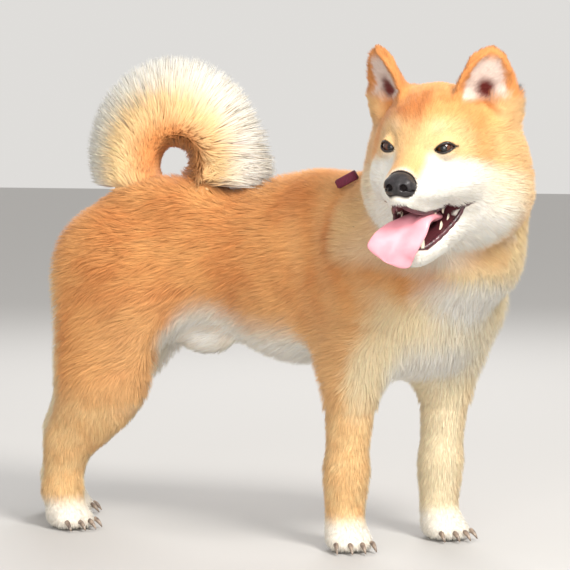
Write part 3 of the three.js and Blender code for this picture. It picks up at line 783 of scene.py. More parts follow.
def head_normal_ahead(normals, h):
    """How much a normal looks the way the ear opens."""
    same = np.ones_like(h[..., 0])
    opens = EAR_OPENS * np.stack([same, np.sign(h[..., 1]), same], -1)
    return (normals @ HEAD_MATRIX * opens).sum(-1)


def tail_colour(points):
    """Deep orange at the inside of the curl, white at the outside."""
    offset = points - TAIL_MIDDLE
    reach = np.hypot(offset[..., 0], offset[..., 2])
    colour = mix(mix(RED, DEEP, 0.5 + 0.2 * STREAKS(points)), CREAM, smooth(0.028, 0.066, reach))
    return mix(colour, WHITE, smooth(0.070, 0.108, reach))


def coat_colour(points, normals):
    colour = body_colour(points, normals)
    colour = mix(colour, head_colour(points, normals), in_head(points))
    return mix(colour, tail_colour(points), on_tail(points))


def on_tail(points):
    return smooth(0.012, 0.004, tail_field(points)) * smooth(0.375, 0.395, points[..., 2])


def skin_colour(points, normals):
    """The coat's colours, a little darker as painted shade under the coat, with the bare places of the face
    added.
    """
    colour = coat_colour(points, normals) * 0.86
    h = to_head(points)
    # the lining of the mouth, darkened as painted shade
    colour = mix(colour, LINING_WITH_SHADE, mouth_inside(h, normals @ HEAD_MATRIX) * in_head(points))
    for side in SIDES:
        ahead, outer, up = in_eye_frame(h, side)
        rim = smooth(0.0026, 0.0012, lid_gap(outer, up)) * smooth(0.0, 0.003, ahead)
        colour = mix(colour, BLACK, rim * smooth(0.016, 0.014, np.abs(outer)))
    nose = smooth(1.25, 1.05, np.linalg.norm((h - np.array(NOSE["middle"])) / NOSE["sizes"], axis=-1))
    return mix(colour, BLACK, nose * in_head(points))


# The coat: where the hairs grow, which way they lie and how long they are

HAIR_PART = np.array([0.106, 0.0, -0.026])  # below the nose, where the hair of the face starts out from
BARE_NOSE = {"middle": np.array([0.100, 0.0, -0.021]), "sizes": (0.016, 0.0165, 0.0145)}
BARE_LIDS = {"gap": 0.0032, "half": 0.0150}
SOLE = 0.004


def lie(points, normals):
    """The way the coat lies, along the skin."""
    z = points[..., 2]
    ones = np.ones_like(z)
    way = np.stack([-ones, 0 * ones, -0.42 * ones], -1)
    haunch = smooth(-0.12, -0.22, points[..., 0]) * smooth(0.33, 0.26, z)
    way = mix(way, np.array([-0.55, 0.0, -0.85]), haunch)
    front = smooth(0.2, 0.7, normals @ CHEST_WAY) * smooth(0.0, 0.08, points[..., 0])
    way = mix(way, np.array([-0.15, 0.0, -1.0]), front)
    neck = blob(points, (0.15, 0.02, 0.36), (0.16, 0.17, 0.14))
    way = mix(way, -NECK_WAY, 1.6 * neck)
    way = mix(way, np.array([-0.06, 0.0, -1.0]), smooth(0.20, 0.15, z))
    h = to_head(points)
    from_nose = head_way(unit(h - HAIR_PART))
    way = way + (from_nose - way) * in_head(points)[..., None]
    up_ear = head_way(np.stack([-0.15 * ones, 0.25 * np.sign(h[..., 1]), ones], -1))
    way = way + (up_ear - way) * in_ear(points)[..., None]
    way = unit(way)
    turn = 0.22 * STREAKS(points) + 0.10 * PATCHES(points)
    side = np.cross(normals, way)
    way = way + side * turn[..., None]
    return unit(way - (way * normals).sum(-1, keepdims=True) * normals)


def bare(points, normals):
    """True where no hair grows: eyes, nose, mouth and soles."""
    h = to_head(points)
    none = mouth_inside(h, normals @ HEAD_MATRIX) * in_head(points) > 0.3
    for side in SIDES:
        ahead, outer, up = in_eye_frame(h, side)
        none |= (lid_gap(outer, up) < BARE_LIDS["gap"]) & (ahead > 0) & (np.abs(outer) < BARE_LIDS["half"])
    nose = np.linalg.norm((h - BARE_NOSE["middle"]) / BARE_NOSE["sizes"], axis=-1) < 1
    return none | nose | ((points[..., 2] < SOLE) & (normals[..., 2] < -0.3))


# Each region of the coat: its name, tufts, pieces, and their length and width

REGIONS = {
    "coat_face": {"tufts": 49000, "pieces": 1, "long": 0.0090, "wide": 0.0009},
    "coat_ruff": {"tufts": 48000, "pieces": 1, "long": 0.0160, "wide": 0.0010},
    "coat_ears": {"tufts": 16000, "pieces": 1, "long": 0.0075, "wide": 0.0009},
    "coat_neck": {"tufts": 49000, "pieces": 1, "long": 0.0220, "wide": 0.0011},
    "coat_trunk": {"tufts": 120000, "pieces": 3, "long": 0.0165, "wide": 0.00105},
    "coat_legs": {"tufts": 48000, "pieces": 1, "long": 0.0110, "wide": 0.0011},
}
FACE, RUFF, EARS, NAPE, TRUNK, LEGS = range(len(REGIONS))
TAIL = -1
NAPE_PLACE = ((0.13, 0.01, 0.35), (0.13, 0.17, 0.13))
LEG_TOP = 0.16
# The column and row of each region's part of the unwrap
ATLAS = {"coat_face": (0, 0), "coat_ruff": (1, 0), "coat_ears": (2, 0), "coat_neck": (0, 1),
         "coat_trunk": (1, 1), "coat_legs": (2, 1), "coat_tail": (0, 2)}
ATLAS_SIDE = 3
ATLAS_EDGE, ATLAS_USED = 0.02, 0.94
TRUNK_LINE = {"y": 0.04, "z": 0.28, "back": -0.34, "long": 0.60}
HEAD_SPAN = {"back": -0.09, "long": 0.21}
LEG_SPAN = {"fore_from": -0.05, "left_from": 0.058, "high": 0.17}
SHORTEST = 0.0025


def region_of(points):
    """The index of each place's region in REGIONS, or TAIL."""
    h = to_head(points)
    head = in_head(points) > 0.5
    rear = (h[..., 0] < 0.0) & ((np.abs(h[..., 1]) > 0.045) | (h[..., 2] < -0.03) | (h[..., 0] < -0.045))
    nape = blob(points, *NAPE_PLACE) > 0.12
    region = np.where(points[..., 2] < LEG_TOP, LEGS, np.where(nape, NAPE, TRUNK))
    region = np.where(head, np.where(rear, RUFF, FACE), region)
    region = np.where(head & (in_ear(points) > 0.4), EARS, region)
    return np.where(on_tail(points) > 0.5, TAIL, region)


def round_the_head(points):
    h = to_head(points)
    return np.arctan2(h[..., 1], h[..., 2]), (h[..., 0] - HEAD_SPAN["back"]) / HEAD_SPAN["long"]


def round_the_tail(points):
    offset = points - TAIL_MIDDLE
    turn = np.arctan2(offset[..., 2], offset[..., 0])
    around = np.arctan2(offset[..., 1], np.hypot(offset[..., 0], offset[..., 2]) - TAIL_LINE[1])
    return around, (turn / (2 * math.pi)) % 1.0


def round_the_legs(points):
    """Each leg fills a quarter of the height."""
    index = (points[..., 0] > LEG_SPAN["fore_from"]) * 2 + (points[..., 1] > LEG_SPAN["left_from"])
    middle = np.array([FEET[leg][:2] for leg in ("hind_R", "hind_L", "fore_R", "fore_L")])[index]
    around = np.arctan2(points[..., 1] - middle[..., 1], points[..., 0] - middle[..., 0])
    return around, (index + points[..., 2] / LEG_SPAN["high"]) / len(FEET)


def round_the_trunk(points):
    around = np.arctan2(points[..., 1] - TRUNK_LINE["y"], points[..., 2] - TRUNK_LINE["z"])
    return around, (points[..., 0] - TRUNK_LINE["back"]) / TRUNK_LINE["long"]


WAYS_ROUND = {"coat_face": round_the_head, "coat_ruff": round_the_head, "coat_ears": round_the_head,
              "coat_tail": round_the_tail, "coat_legs": round_the_legs}


def unwrapped(points, name):
    """A place on the unwrap of the skin: round the body part's own line and along it."""
    column, row = ATLAS[name]
    around, along = WAYS_ROUND.get(name, round_the_trunk)(points)
    u = ATLAS_EDGE + ATLAS_USED * np.clip(around / (2 * math.pi) + 0.5, 0, 1)
    v = ATLAS_EDGE + ATLAS_USED * np.clip(along, 0, 1)
    return np.stack([(column + u) / ATLAS_SIDE, (row + v) / ATLAS_SIDE], -1)


def scattered(points, triangles, weights, count, rng):
    """Places spread over triangles in proportion to area and weight, with the triangle of each."""
    a, b, c = (points[triangles[:, i]] for i in range(3))
    area = np.linalg.norm(np.cross(b - a, c - a), axis=1) * weights
    chosen = np.searchsorted(np.cumsum(area) / area.sum(), rng.uniform(size=count))
    chosen = np.minimum(chosen, len(triangles) - 1)
    u, v = rng.uniform(size=(2, count))
    over = u + v > 1
    u, v = np.where(over, 1 - u, u), np.where(over, 1 - v, v)
    spot = a[chosen] + u[:, None] * (b - a)[chosen] + v[:, None] * (c - a)[chosen]
    return spot, chosen


def clumped(roots, tips, size, pull, rng):
    """Draws the tips of neighbouring tufts together into locks."""
    cell = np.floor((roots + rng.uniform(-0.3, 0.3, roots.shape) * size) / size).astype(np.int64)
    key = (cell[:, 0] * 4099 + cell[:, 1]) * 4099 + cell[:, 2]
    _, back, count = np.unique(key, return_inverse=True, return_counts=True)
    back = back.reshape(-1)
    middle = np.stack([np.bincount(back, tips[:, i]) / count for i in range(3)], 1)
    return tips + (middle[back] - tips) * pull


PROUD = 0.0010  # how far past the outline a tip may stand


def drawn_in(tips, outline, low):
    """Tips that stand out of the coat's outline moved back to it, and the way the outline faces there."""
    slopes = [sampled(outline, low, tips + way) - sampled(outline, low, tips - way)
              for way in np.eye(3) * VOXEL]
    facing = unit(np.stack(slopes, 1) + 1e-6)
    beyond = np.maximum(sampled(outline, low, tips) - PROUD, 0)
    return tips - facing * beyond[:, None], facing


CORNERS = np.radians([90, 210, 330])
FLATNESS = 0.45
SUNK = 0.001  # how deep the foot of a tuft is under the skin
ROLL = 0.5
STRAY = 0.15
PATCH_RADIUS = 0.0015
STRAIGHT = [(0.0, 1.0)]  # the places of a tuft's rings from foot to tip, and their width
BENT = [(0.0, 0.75), (0.5, 1.0)]


def tuft_faces(rings):
    """The triangles of one tuft: its foot, its sides and its tip."""
    faces, tip = [(0, 1, 2)], 3 * rings
    for i in range(3):
        j = (i + 1) % 3
        for ring in range(0, tip - 3, 3):
            faces += [(j + ring, i + ring, i + ring + 3), (j + ring, i + ring + 3, j + ring + 3)]
        faces += [(j + tip - 3, i + tip - 3, tip)]
    return np.array(faces)


def tuft_mesh(name, roots, tips, normals, tip_normals, wide, root_colour, tip_colour, rng, bulge=None):
    """Closed thin tufts, three sided, that taper to a point. With a bulge they bend at a ring half way."""
    count = len(roots)
    axis = tips - roots
    side = unit(np.cross(axis, normals))
    thick = unit(np.cross(side, axis))
    roll = rng.uniform(-ROLL, ROLL, count)[:, None]
    side, thick = side * np.cos(roll) + thick * np.sin(roll), thick * np.cos(roll) - side * np.sin(roll)
    stations = STRAIGHT if bulge is None else BENT
    uv = unwrapped(roots, name.rstrip("_0123456789"))
    points, shading, colours, places = [], [], [], []
    stray = STRAY * rng.normal(size=(count, 3))
    for t, share in stations:
        centre = roots + axis * t
        if bulge is not None:
            centre = centre + normals * (bulge * 4 * t * (1 - t))[:, None]
        centre = centre - normals * (SUNK * (1 - t))
        for angle in CORNERS:
            out = side * math.cos(angle) + thick * math.sin(angle) * FLATNESS
            points.append(centre + out * (wide * share / 2)[:, None])
            shading.append(unit(normals * (1 - t) + tip_normals * t + stray + 0.35 * out))
            colours.append(root_colour + (tip_colour - root_colour) * t)
            places.append(uv + np.array((math.cos(angle), math.sin(angle))) * PATCH_RADIUS * (1 - t))
    points.append(tips)
    shading.append(unit(tip_normals + stray))
    colours.append(tip_colour)
    places.append(uv)
    per = len(points)
    points, shading, colours = (np.stack(part, 1).reshape(-1, 3) for part in (points, shading, colours))
    places = np.stack(places, 1).reshape(-1, 2)
    faces = (tuft_faces(len(stations))[None] + np.arange(count)[:, None, None] * per).reshape(-1, 3)
    piece = new_mesh(name, points, faces)
    layer = piece.data.uv_layers.new(name="OFBake")
    layer.data.foreach_set("uv", places[faces.ravel()].astype(np.float32).ravel())
    paint(piece, colours)
    piece.data.normals_split_custom_set_from_vertices(shading)
    return piece


def tinted(colour, rng, amount=0.10):
    """Small differences of brightness and warmth from tuft to tuft."""
    light = 1 + amount * rng.normal(size=(len(colour), 1))
    warm = 1 + 0.35 * amount * rng.normal(size=(len(colour), 1)) * np.array([0.3, 0.0, -1.0])
    return np.clip(colour * light * warm, 0.002, 0.93)


MUZZLE_DENSER = 1.6
FLOOR_GAP = 0.0012


def suited(name, roots, length, height):
    """The length of the tufts and how far they stand out, suited to their place in the region."""
    h = to_head(roots)
    if name == "coat_face":
        eye = np.minimum(*[np.linalg.norm(h - EYE_HEAD[side], axis=1) for side in SIDES])
        length = length * (0.42 + 0.58 * smooth(0.085, 0.030, h[:, 0]))
        length = length * (0.45 + 0.55 * smooth(0.013, 0.022, eye))
        height = np.minimum(height, 0.38 * length)
    if name == "coat_ruff":
        fringe = smooth(0.01, -0.04, h[:, 0])
        length, height = length * (1 + 0.5 * fringe), height * (1 + 0.15 * fringe)
    if name == "coat_ears":
        length = length * (0.6 + 0.4 * smooth(0.10, 0.06, h[:, 2]))
        height = np.minimum(1.5 * height, 0.42 * length)
    if name == "coat_legs":
        length = length * (0.55 + 0.45 * smooth(0.02, 0.06, roots[:, 2]))
        height = np.minimum(height, 0.36 * length)
    return length, height


def grow_region(name, spec, skin, materials, rng):
    """The tufts of one region: roots on the skin, tips along the lie of the coat, drawn in to its outline."""
    points, triangles, normals, face_region, outline, low, index = skin
    weights = (face_region == index).astype(float)
    middle = points[triangles].mean(1)
    weights[bare(middle, normals[triangles[:, 0]])] = 0
    if name == "coat_face":
        weights *= 1 + MUZZLE_DENSER * smooth(0.045, 0.070, to_head(middle)[:, 0])
    roots, chosen = scattered(points, triangles, weights, spec["tufts"], rng)
    normal = unit(normals[triangles[chosen]].mean(1))
    way = lie(roots, normal)
    depth = np.maximum(-sampled(outline, low, roots), 0.0)
    height = np.minimum(np.maximum(depth, SHORTEST), spec["long"] * 0.9)
    length, height = suited(name, roots, spec["long"] * rng.uniform(0.8, 1.15, len(roots)), height)
    height = height * rng.uniform(0.72, 1.04, len(roots))
    along = np.sqrt(np.maximum(length ** 2 - height ** 2, (0.35 * length) ** 2))
    tips = roots + normal * height[:, None] + way * along[:, None]
    tips = tips + rng.normal(size=tips.shape) * (0.05 * length)[:, None]
    tips, facing = drawn_in(clumped(roots, tips, 0.35 * spec["long"], 0.30, rng), outline, low)
    facing = unit(facing + normal * 0.6)
    tips[:, 2] = np.maximum(tips[:, 2], FLOOR_GAP)
    base = coat_colour(roots, normal)
    ends = tinted(coat_colour(roots + way * (0.4 * length)[:, None], normal), rng)
    if name == "coat_ruff":
        rim = smooth(0.0, -0.05, to_head(roots)[:, 0]) * smooth(0.02, -0.03, to_head(roots)[:, 2])
        ends = mix(ends, DEEP * 0.75, 0.45 * rim * rng.uniform(0, 1, len(roots)))
    wide = spec["wide"] * rng.uniform(0.75, 1.25, len(roots))
    order = np.argsort(roots[:, 0], kind="stable")
    for number, part in enumerate(np.array_split(order, spec["pieces"])):
        full = name if spec["pieces"] == 1 else f"{name}_{number + 1}"
        piece = tuft_mesh(full, roots[part], tips[part], normal[part], facing[part], wide[part], base[part],
                          ends[part], rng)
        finish_piece(piece, materials["fur"], "red_coat")


TAIL_TUFTS = 18000
TAIL_TUFT_WIDE = 0.0022
PLUME_TOWARDS = math.radians(128)  # where round the curl's middle the brush stands highest
FAN = (math.radians(-9), math.radians(196))  # where round it the brush ends on the right and on the left
HAIR_LEAN = {"all": -9, "tip": 8, "stray": 3.0, "inside": 20}  # degrees


def grow_tail(points, triangles, normals, face_region, materials, rng):
    """The brush: hairs that fan out from the curl, short inside it and long outside."""
    roots, chosen = scattered(points, triangles, (face_region == TAIL).astype(float), TAIL_TUFTS, rng)
    normal = unit(normals[triangles[chosen]].mean(1))
    offset = roots - TAIL_MIDDLE
    angle = np.arctan2(offset[:, 2], offset[:, 0])
    turn = np.where(angle < math.radians(-60), angle + 2 * math.pi, angle)
    share = np.clip((TAIL_TURN[0] - turn) / (TAIL_TURN[0] - TAIL_TURN[1]), 0, 1)
    line = tail_point(share)
    radial = np.stack([np.cos(turn), 0 * turn, np.sin(turn)], -1)
    around = np.arctan2(normal[:, 1], (normal * radial).sum(1))
    spread = around * (0.80 + 0.2 * np.abs(around) / math.pi)
    lean = np.radians(HAIR_LEAN["all"]) * (0.5 + 0.5 * np.cos(around))
    lean = lean - np.radians(HAIR_LEAN["tip"]) * smooth(0.80, 1.0, share)
    lean = lean + np.radians(HAIR_LEAN["stray"]) * rng.normal(size=len(roots))
    plume = BRUSH["plume"] * np.maximum(0, np.cos(turn - PLUME_TOWARDS))
    rough = rng.uniform(0.84, 1.03, len(roots)) + 0.03 * FLECKS(roots)
    plume = plume + BRUSH["right"] * smooth(math.radians(40), 0.0, turn)
    inside = BRUSH["inside"] + 0.010 * smooth(0.45, 0.15, share)
    local = np.hypot(*(line - TAIL_MIDDLE)[:, [0, 2]].T) - 0.012 - inside
    deep = np.where(np.cos(spread) > 0, BRUSH["deep"] + plume, BRUSH["middle"] - local)
    rough = np.where(np.cos(spread) > 0, rough, 0.6 + 0.4 * rough)
    reach = BRUSH["middle"] + deep * np.cos(spread) * rough
    across = BRUSH["across"] * np.sin(spread) * rough
    to = turn + lean - math.radians(HAIR_LEAN["inside"]) * smooth(0.2, -0.6, np.cos(around)) * (share < 0.9)
    ends_from = FAN[0] + rng.uniform(-0.20, 0.22, len(roots))
    ends_to = FAN[1] + rng.uniform(-0.14, 0.16, len(roots))
    outside = np.cos(around) > -0.3
    to = np.where(outside, np.clip(to, ends_from, ends_to), to)
    tips = TAIL_MIDDLE + np.stack([reach * np.cos(to), across, reach * np.sin(to)], -1)
    tips = clumped(roots, tips, 0.009, 0.35, rng)
    base = coat_colour(roots, normal)
    ends = tinted(tail_colour(tips), rng, 0.07)
    away = unit(tips - line)
    wide = TAIL_TUFT_WIDE * rng.uniform(0.7, 1.3, len(roots))
    bulge = 0.04 * np.linalg.norm(tips - roots, axis=1)
    facing = unit(away + 0.6 * normal)
    # the roots are a little darker than the coat: painted shade deep in the brush
    piece = tuft_mesh("coat_tail", roots, tips, facing, facing, wide, base * 0.85, ends, rng, bulge)
    finish_piece(piece, materials["fur"], "pale_coat")


# Materials

def new_material(name, roughness, sheen=0.0, coat=0.0, specular=0.5):
    material = bpy.data.materials.new(name)
    material.use_nodes = True
    shader = material.node_tree.nodes["Principled BSDF"]
    shader.inputs["Roughness"].default_value = roughness
    shader.inputs["Sheen Weight"].default_value = sheen
    shader.inputs["Sheen Roughness"].default_value = 0.5
    shader.inputs["Coat Weight"].default_value = coat
    shader.inputs["Coat Roughness"].default_value = 0.08
    shader.inputs["Specular IOR Level"].default_value = specular
    return material, material.node_tree, shader


def noise(tree, scale, detail=3.0):
    node = tree.nodes.new("ShaderNodeTexNoise")
    node.inputs["Scale"].default_value = scale
    node.inputs["Detail"].default_value = detail
    coordinates = tree.nodes.new("ShaderNodeTexCoord")
    tree.links.new(coordinates.outputs["Object"], node.inputs["Vector"])
    return node.outputs["Fac"]


def add_bump(tree, shader, height, strength, distance):
    bump = tree.nodes.new("ShaderNodeBump")
    bump.inputs["Strength"].default_value = strength
    bump.inputs["Distance"].default_value = distance
    tree.links.new(height, bump.inputs["Height"])
    tree.links.new(bump.outputs["Normal"], shader.inputs["Normal"])


def painted(tree, shader, factor, low, high):
    """The stored colours, made lighter and darker by a factor from 0 to 1."""
    stored = tree.nodes.new("ShaderNodeAttribute")
    stored.attribute_name = "coat"
    ramp = tree.nodes.new("ShaderNodeMapRange")
    ramp.inputs["To Min"].default_value = low
    ramp.inputs["To Max"].default_value = high
    tree.links.new(factor, ramp.inputs["Value"])
    scale = tree.nodes.new("ShaderNodeVectorMath")
    scale.operation = "SCALE"
    tree.links.new(stored.outputs["Color"], scale.inputs[0])
    tree.links.new(ramp.outputs["Result"], scale.inputs["Scale"])
    tree.links.new(scale.outputs["Vector"], shader.inputs["Base Color"])


def two_tone(tree, shader, factor, dark, light):
    ramp = tree.nodes.new("ShaderNodeValToRGB")
    ramp.color_ramp.elements[0].position = 0.3
    ramp.color_ramp.elements[0].color = (*dark, 1)
    ramp.color_ramp.elements[1].position = 0.7
    ramp.color_ramp.elements[1].color = (*light, 1)
    tree.links.new(factor, ramp.inputs["Fac"])
    tree.links.new(ramp.outputs["Color"], shader.inputs["Base Color"])


FUR = {"rough": 0.80, "sheen": 0.15, "specular": 0.25, "grain": 90.0, "range": (0.93, 1.07)}
SKIN = {"rough": 0.80, "specular": 0.25, "grain": 500.0, "range": (0.85, 1.12), "bump": (700.0, 0.5, 0.0006)}
EYE = {"rough": 0.06, "coat": 0.6, "specular": 0.4, "grain": 900.0, "range": (0.75, 1.3)}
# Materials of two mottled colours. A bump is the scale, strength and depth of its grain
MOTTLED = {
    "nose_leather": {"rough": 0.38, "coat": 0.25, "grain": 260.0, "bump": (1100.0, 0.7, 0.0006),
                     "dark": srgb(18, 15, 17), "light": srgb(46, 40, 43)},
    "lip": {"rough": 0.38, "coat": 0.3, "grain": 240.0, "bump": (420.0, 0.6, 0.0008),
            "dark": srgb(38, 18, 22), "light": srgb(98, 46, 54)},
    "lid_rim": {"rough": 0.32, "coat": 0.4, "grain": 300.0,
                "dark": srgb(16, 11, 11), "light": srgb(38, 26, 25)},
    "tongue": {"rough": 0.42, "coat": 0.35, "grain": 60.0, "bump": (1300.0, 0.5, 0.0004),
               "dark": srgb(232, 146, 158), "light": srgb(242, 164, 174)},
    "tooth": {"rough": 0.22, "coat": 0.4, "grain": 180.0,
              "dark": srgb(208, 192, 166), "light": srgb(236, 226, 206)},
    "claw": {"rough": 0.35, "coat": 0.2, "grain": 200.0,
             "dark": srgb(92, 78, 70), "light": srgb(168, 148, 130)},
    "collar_webbing": {"rough": 0.75, "coat": 0.0, "grain": 700.0, "bump": (1500.0, 0.6, 0.0005),
                       "dark": srgb(74, 16, 38), "light": srgb(122, 34, 64)},
}


def fur_material():
    material, tree, shader = new_material("fur", FUR["rough"], sheen=FUR["sheen"], specular=FUR["specular"])
    painted(tree, shader, noise(tree, FUR["grain"]), *FUR["range"])
    return material


def skin_material():
    material, tree, shader = new_material("skin", SKIN["rough"], specular=SKIN["specular"])
    painted(tree, shader, noise(tree, SKIN["grain"]), *SKIN["range"])
    grain, strength, depth = SKIN["bump"]
    add_bump(tree, shader, noise(tree, grain), strength, depth)
    return material


def eye_material():
    material, tree, shader = new_material("eye", EYE["rough"], coat=EYE["coat"], specular=EYE["specular"])
    painted(tree, shader, noise(tree, EYE["grain"]), *EYE["range"])
    return material


def mottled_material(name, spec):
    material, tree, shader = new_material(name, spec["rough"], coat=spec["coat"])
    two_tone(tree, shader, noise(tree, spec["grain"]), spec["dark"], spec["light"])
    if "bump" in spec:
        grain, strength, depth = spec["bump"]
        add_bump(tree, shader, noise(tree, grain), strength, depth)
    return material


def make_materials():
    made = {name: mottled_material(name, spec) for name, spec in MOTTLED.items()}
    return made | {"fur": fur_material(), "skin": skin_material(), "eye": eye_material()}


# Eyes, nose, mouth, claws and collar

def tube(path, radii, sides=12):
    """A closed tube along a path, as points and triangles."""
    path = np.asarray(path, dtype=float)
    radii = np.broadcast_to(np.asarray(radii, dtype=float), (len(path),))
    tangent = unit(np.gradient(path, axis=0))
    guide = np.array([0.0, 0.0, 1.0]) if abs(tangent[0][2]) < 0.9 else np.array([1.0, 0.0, 0.0])
    angles = np.linspace(0, 2 * math.pi, sides, endpoint=False)
    rings = []
    for place, way, radius in zip(path, tangent, radii):
        first = np.cross(way, guide)
        first = first / np.linalg.norm(first)
        second = np.cross(way, first)
        guide = np.cross(first, way)
        rings.append(place + radius * (np.cos(angles)[:, None] * first + np.sin(angles)[:, None] * second))
    return lofted(rings)


def lofted(rings):
    """Points and triangles of a closed solid through rings of equally many points."""
    count, sides = len(rings), len(rings[0])
    points = np.concatenate(rings + [rings[0].mean(0, keepdims=True), rings[-1].mean(0, keepdims=True)])
    around = np.arange(sides)
    after = (around + 1) % sides
    faces = []
    for i in range(count - 1):
        a, b = i * sides, (i + 1) * sides
        faces.append(np.stack([a + around, a + after, b + after], 1))
        faces.append(np.stack([a + around, b + after, b + around], 1))
    first, last = count * sides, count * sides + 1
    faces.append(np.stack([after, around, around * 0 + first], 1))
    end = (count - 1) * sides
    faces.append(np.stack([end + around, end + after, around * 0 + last], 1))
    faces = np.concatenate(faces)
    return points, outward(points, faces)


def merged(parts):
    points, faces, start = [], [], 0
    for part_points, part_faces in parts:
        points.append(part_points)
        faces.append(part_faces + start)
        start += len(part_points)
    return np.concatenate(points), np.concatenate(faces)


def curve_through(points, count):
    """Places along a smooth curve through points."""
    points = np.asarray(points, dtype=float)
    ends = np.concatenate([2 * points[:1] - points[1:2], points, 2 * points[-1:] - points[-2:-1]])
    at = np.linspace(0, len(points) - 1, count)
    i = np.minimum(at.astype(int), len(points) - 2)
    t = (at - i)[:, None]
    a, b, c, d = (ends[i + k] for k in range(4))
    curve = 2 * b + (c - a) * t + (2 * a - 5 * b + 4 * c - d) * t ** 2 + (3 * b - a - 3 * c + d) * t ** 3
    return 0.5 * curve


PUPIL, IRIS = math.radians(20), math.radians(47)  # half their width, seen from the eye's middle
PUPIL_BLACK = srgb(8, 6, 6)
IRIS_BROWN = srgb(84, 46, 26)
EYE_WHITE = srgb(96, 66, 58)
CORNEA = {"raised": 0.0009, "half": 0.78}
EYE_INSET = 0.0003
GAZE_TO_CAMERA = 0.55


def gaze_of(side):
    """The way an eye looks, between the camera's way and the head's."""
    to_camera = np.array((CAMERA_AT - EYES[side]).normalized())
    gaze = to_camera * GAZE_TO_CAMERA + head_way([1.0, 0.0, 0.0]) * (1 - GAZE_TO_CAMERA)
    return gaze / np.linalg.norm(gaze)


def eye_colours(tilt, streak):
    """The colours of the ring of the eyeball that is tilted this far from its gaze."""
    iris = IRIS_BROWN * (0.75 + 0.5 * streak[:, None]) * (1 - 0.8 * smooth(IRIS * 0.75, IRIS, tilt))
    # the white darkens towards the back of the ball: painted shade under the lids and in the socket
    white = EYE_WHITE * (1 - 0.6 * smooth(0.9, 1.4, tilt))
    colour = iris + (white - iris) * smooth(IRIS * 0.96, IRIS * 1.08, tilt)
    return PUPIL_BLACK + (colour - PUPIL_BLACK) * smooth(PUPIL * 0.92, PUPIL * 1.06, tilt)


def add_eye(side, materials):
    """An eyeball with a raised cornea, a brown iris and a round pupil."""
    centre, gaze = np.array(EYES[side]), gaze_of(side)
    first = np.cross(gaze, (0, 0, 1))
    first = first / np.linalg.norm(first)
    second = np.cross(first, gaze)
    tilts = np.concatenate([np.linspace(0.02, 0.9, 40), np.linspace(0.95, 3.12, 24)])
    angles = np.linspace(0, 2 * math.pi, 64, endpoint=False)
    round_axis = np.cos(angles)[:, None] * first + np.sin(angles)[:, None] * second
    streak = 0.5 + 0.5 * np.sin(angles * 23 + 2 * np.sin(angles * 7))
    rings, colours = [], []
    for tilt in tilts:
        raised = CORNEA["raised"] * max(0.0, 1 - (tilt / CORNEA["half"]) ** 2) ** 2
        reach = EYE_RADIUS - EYE_INSET + raised
        rings.append(centre + reach * (math.cos(tilt) * gaze + math.sin(tilt) * round_axis))
        colours.append(eye_colours(tilt, streak))
    points, faces = lofted(rings)
    colours = np.concatenate(colours + [colours[0][:1], colours[-1][:1]])
    piece = new_mesh("eyeball_" + side, points, faces)
    paint(piece, colours)
    finish_piece(piece, materials["eye"], "eye", "eye_" + side)


LID_RIM = {"radius": 0.0010, "sunk": 0.0005, "least": 0.003, "steps": 26}


def add_lid_rims(materials):
    """The dark wet edges of the lids."""
    parts = []
    shares = np.linspace(-1, 1, LID_RIM["steps"])
    radii = LID_RIM["radius"] * (0.55 + 0.45 * np.sin(np.linspace(0.25, 2.9, LID_RIM["steps"])))
    for side in SIDES:
        ahead, outer, up = EYE_AXES[side]
        for height in (LID["top"], -LID["bottom"]):
            across = shares * LID["wide"]
            level = height * (1 - (across / LID["wide"]) ** 2) + LID["slant"] * across
            square = (LID["radius"] - LID_RIM["sunk"]) ** 2 - across ** 2 - level ** 2
            forward = np.sqrt(np.maximum(square, LID_RIM["least"] ** 2))
            path = EYE_HEAD[side] + across[:, None] * outer + level[:, None] * up + forward[:, None] * ahead
            parts.append(tube(from_head(path), radii, 8))
    points, faces = merged(parts)
    finish_piece(new_mesh("lid_rims", points, faces), materials["lid_rim"], "nose_leather")


def nose_field(h):
    """Distances to the nose leather, with its nostrils, the slits beside them and the groove below."""
    away = np.linalg.norm((h - np.array(NOSE["middle"])) / np.array(NOSE["sizes"]), axis=-1)
    field = (away - 1) * 0.0125
    chin, _ = to_segment(h, (0.098, 0, -0.026), (0.0985, 0, -0.036))
    field = soft_least(field, chin - 0.0050, 0.005)
    for out in SIDES.values():
        wing, _ = to_segment(h, (0.101, 0.009 * out, -0.020), (0.096, 0.011 * out, -0.024))
        field = soft_least(field, wing - 0.0058, 0.003)
        hole, _ = to_segment(h, (0.112, 0.0066 * out, -0.0240), (0.1035, 0.0078 * out, -0.0220))
        slit, _ = to_segment(h, (0.1065, 0.0088 * out, -0.0245), (0.097, 0.0165 * out, -0.0260))
        field = -soft_least(-field, hole - 0.0036, 0.0012)
        field = -soft_least(-field, slit - 0.0015, 0.0010)
    groove, _ = to_segment(h, (0.1105, 0, -0.020), (0.1045, 0, -0.042))
    return -soft_least(-field, groove - 0.0013, 0.0012)


def add_nose(materials):
    voxel = NOSE["voxel"]
    low, high = (np.array(corner) / voxel for corner in NOSE["box"])
    low, high = np.floor(low).astype(int), np.ceil(high).astype(int)
    axes = [np.arange(low[i], high[i]) * voxel for i in range(3)]
    places = np.stack(np.meshgrid(*axes, indexing="ij"), -1)
    points, quads = surface_of(nose_field(places), low, voxel)
    piece = new_mesh("nose_leather", from_head(points), quads)
    finish_piece(piece, materials["nose_leather"], "nose_leather", "nose")


LIP_STEPS = 90
LIP_RADII = {"upper": 0.0024, "lower": 0.0038, "bumps": 0.0003}
LOWER_LIP_FRONT = (0.070, 0.0, -0.0895)


def lip_sides(line):
    """A lip's line on the left and on the right, in the head's frame."""
    return [(x, w, z) for x, z, w in line], [(x, -w, z) for x, z, w in line]


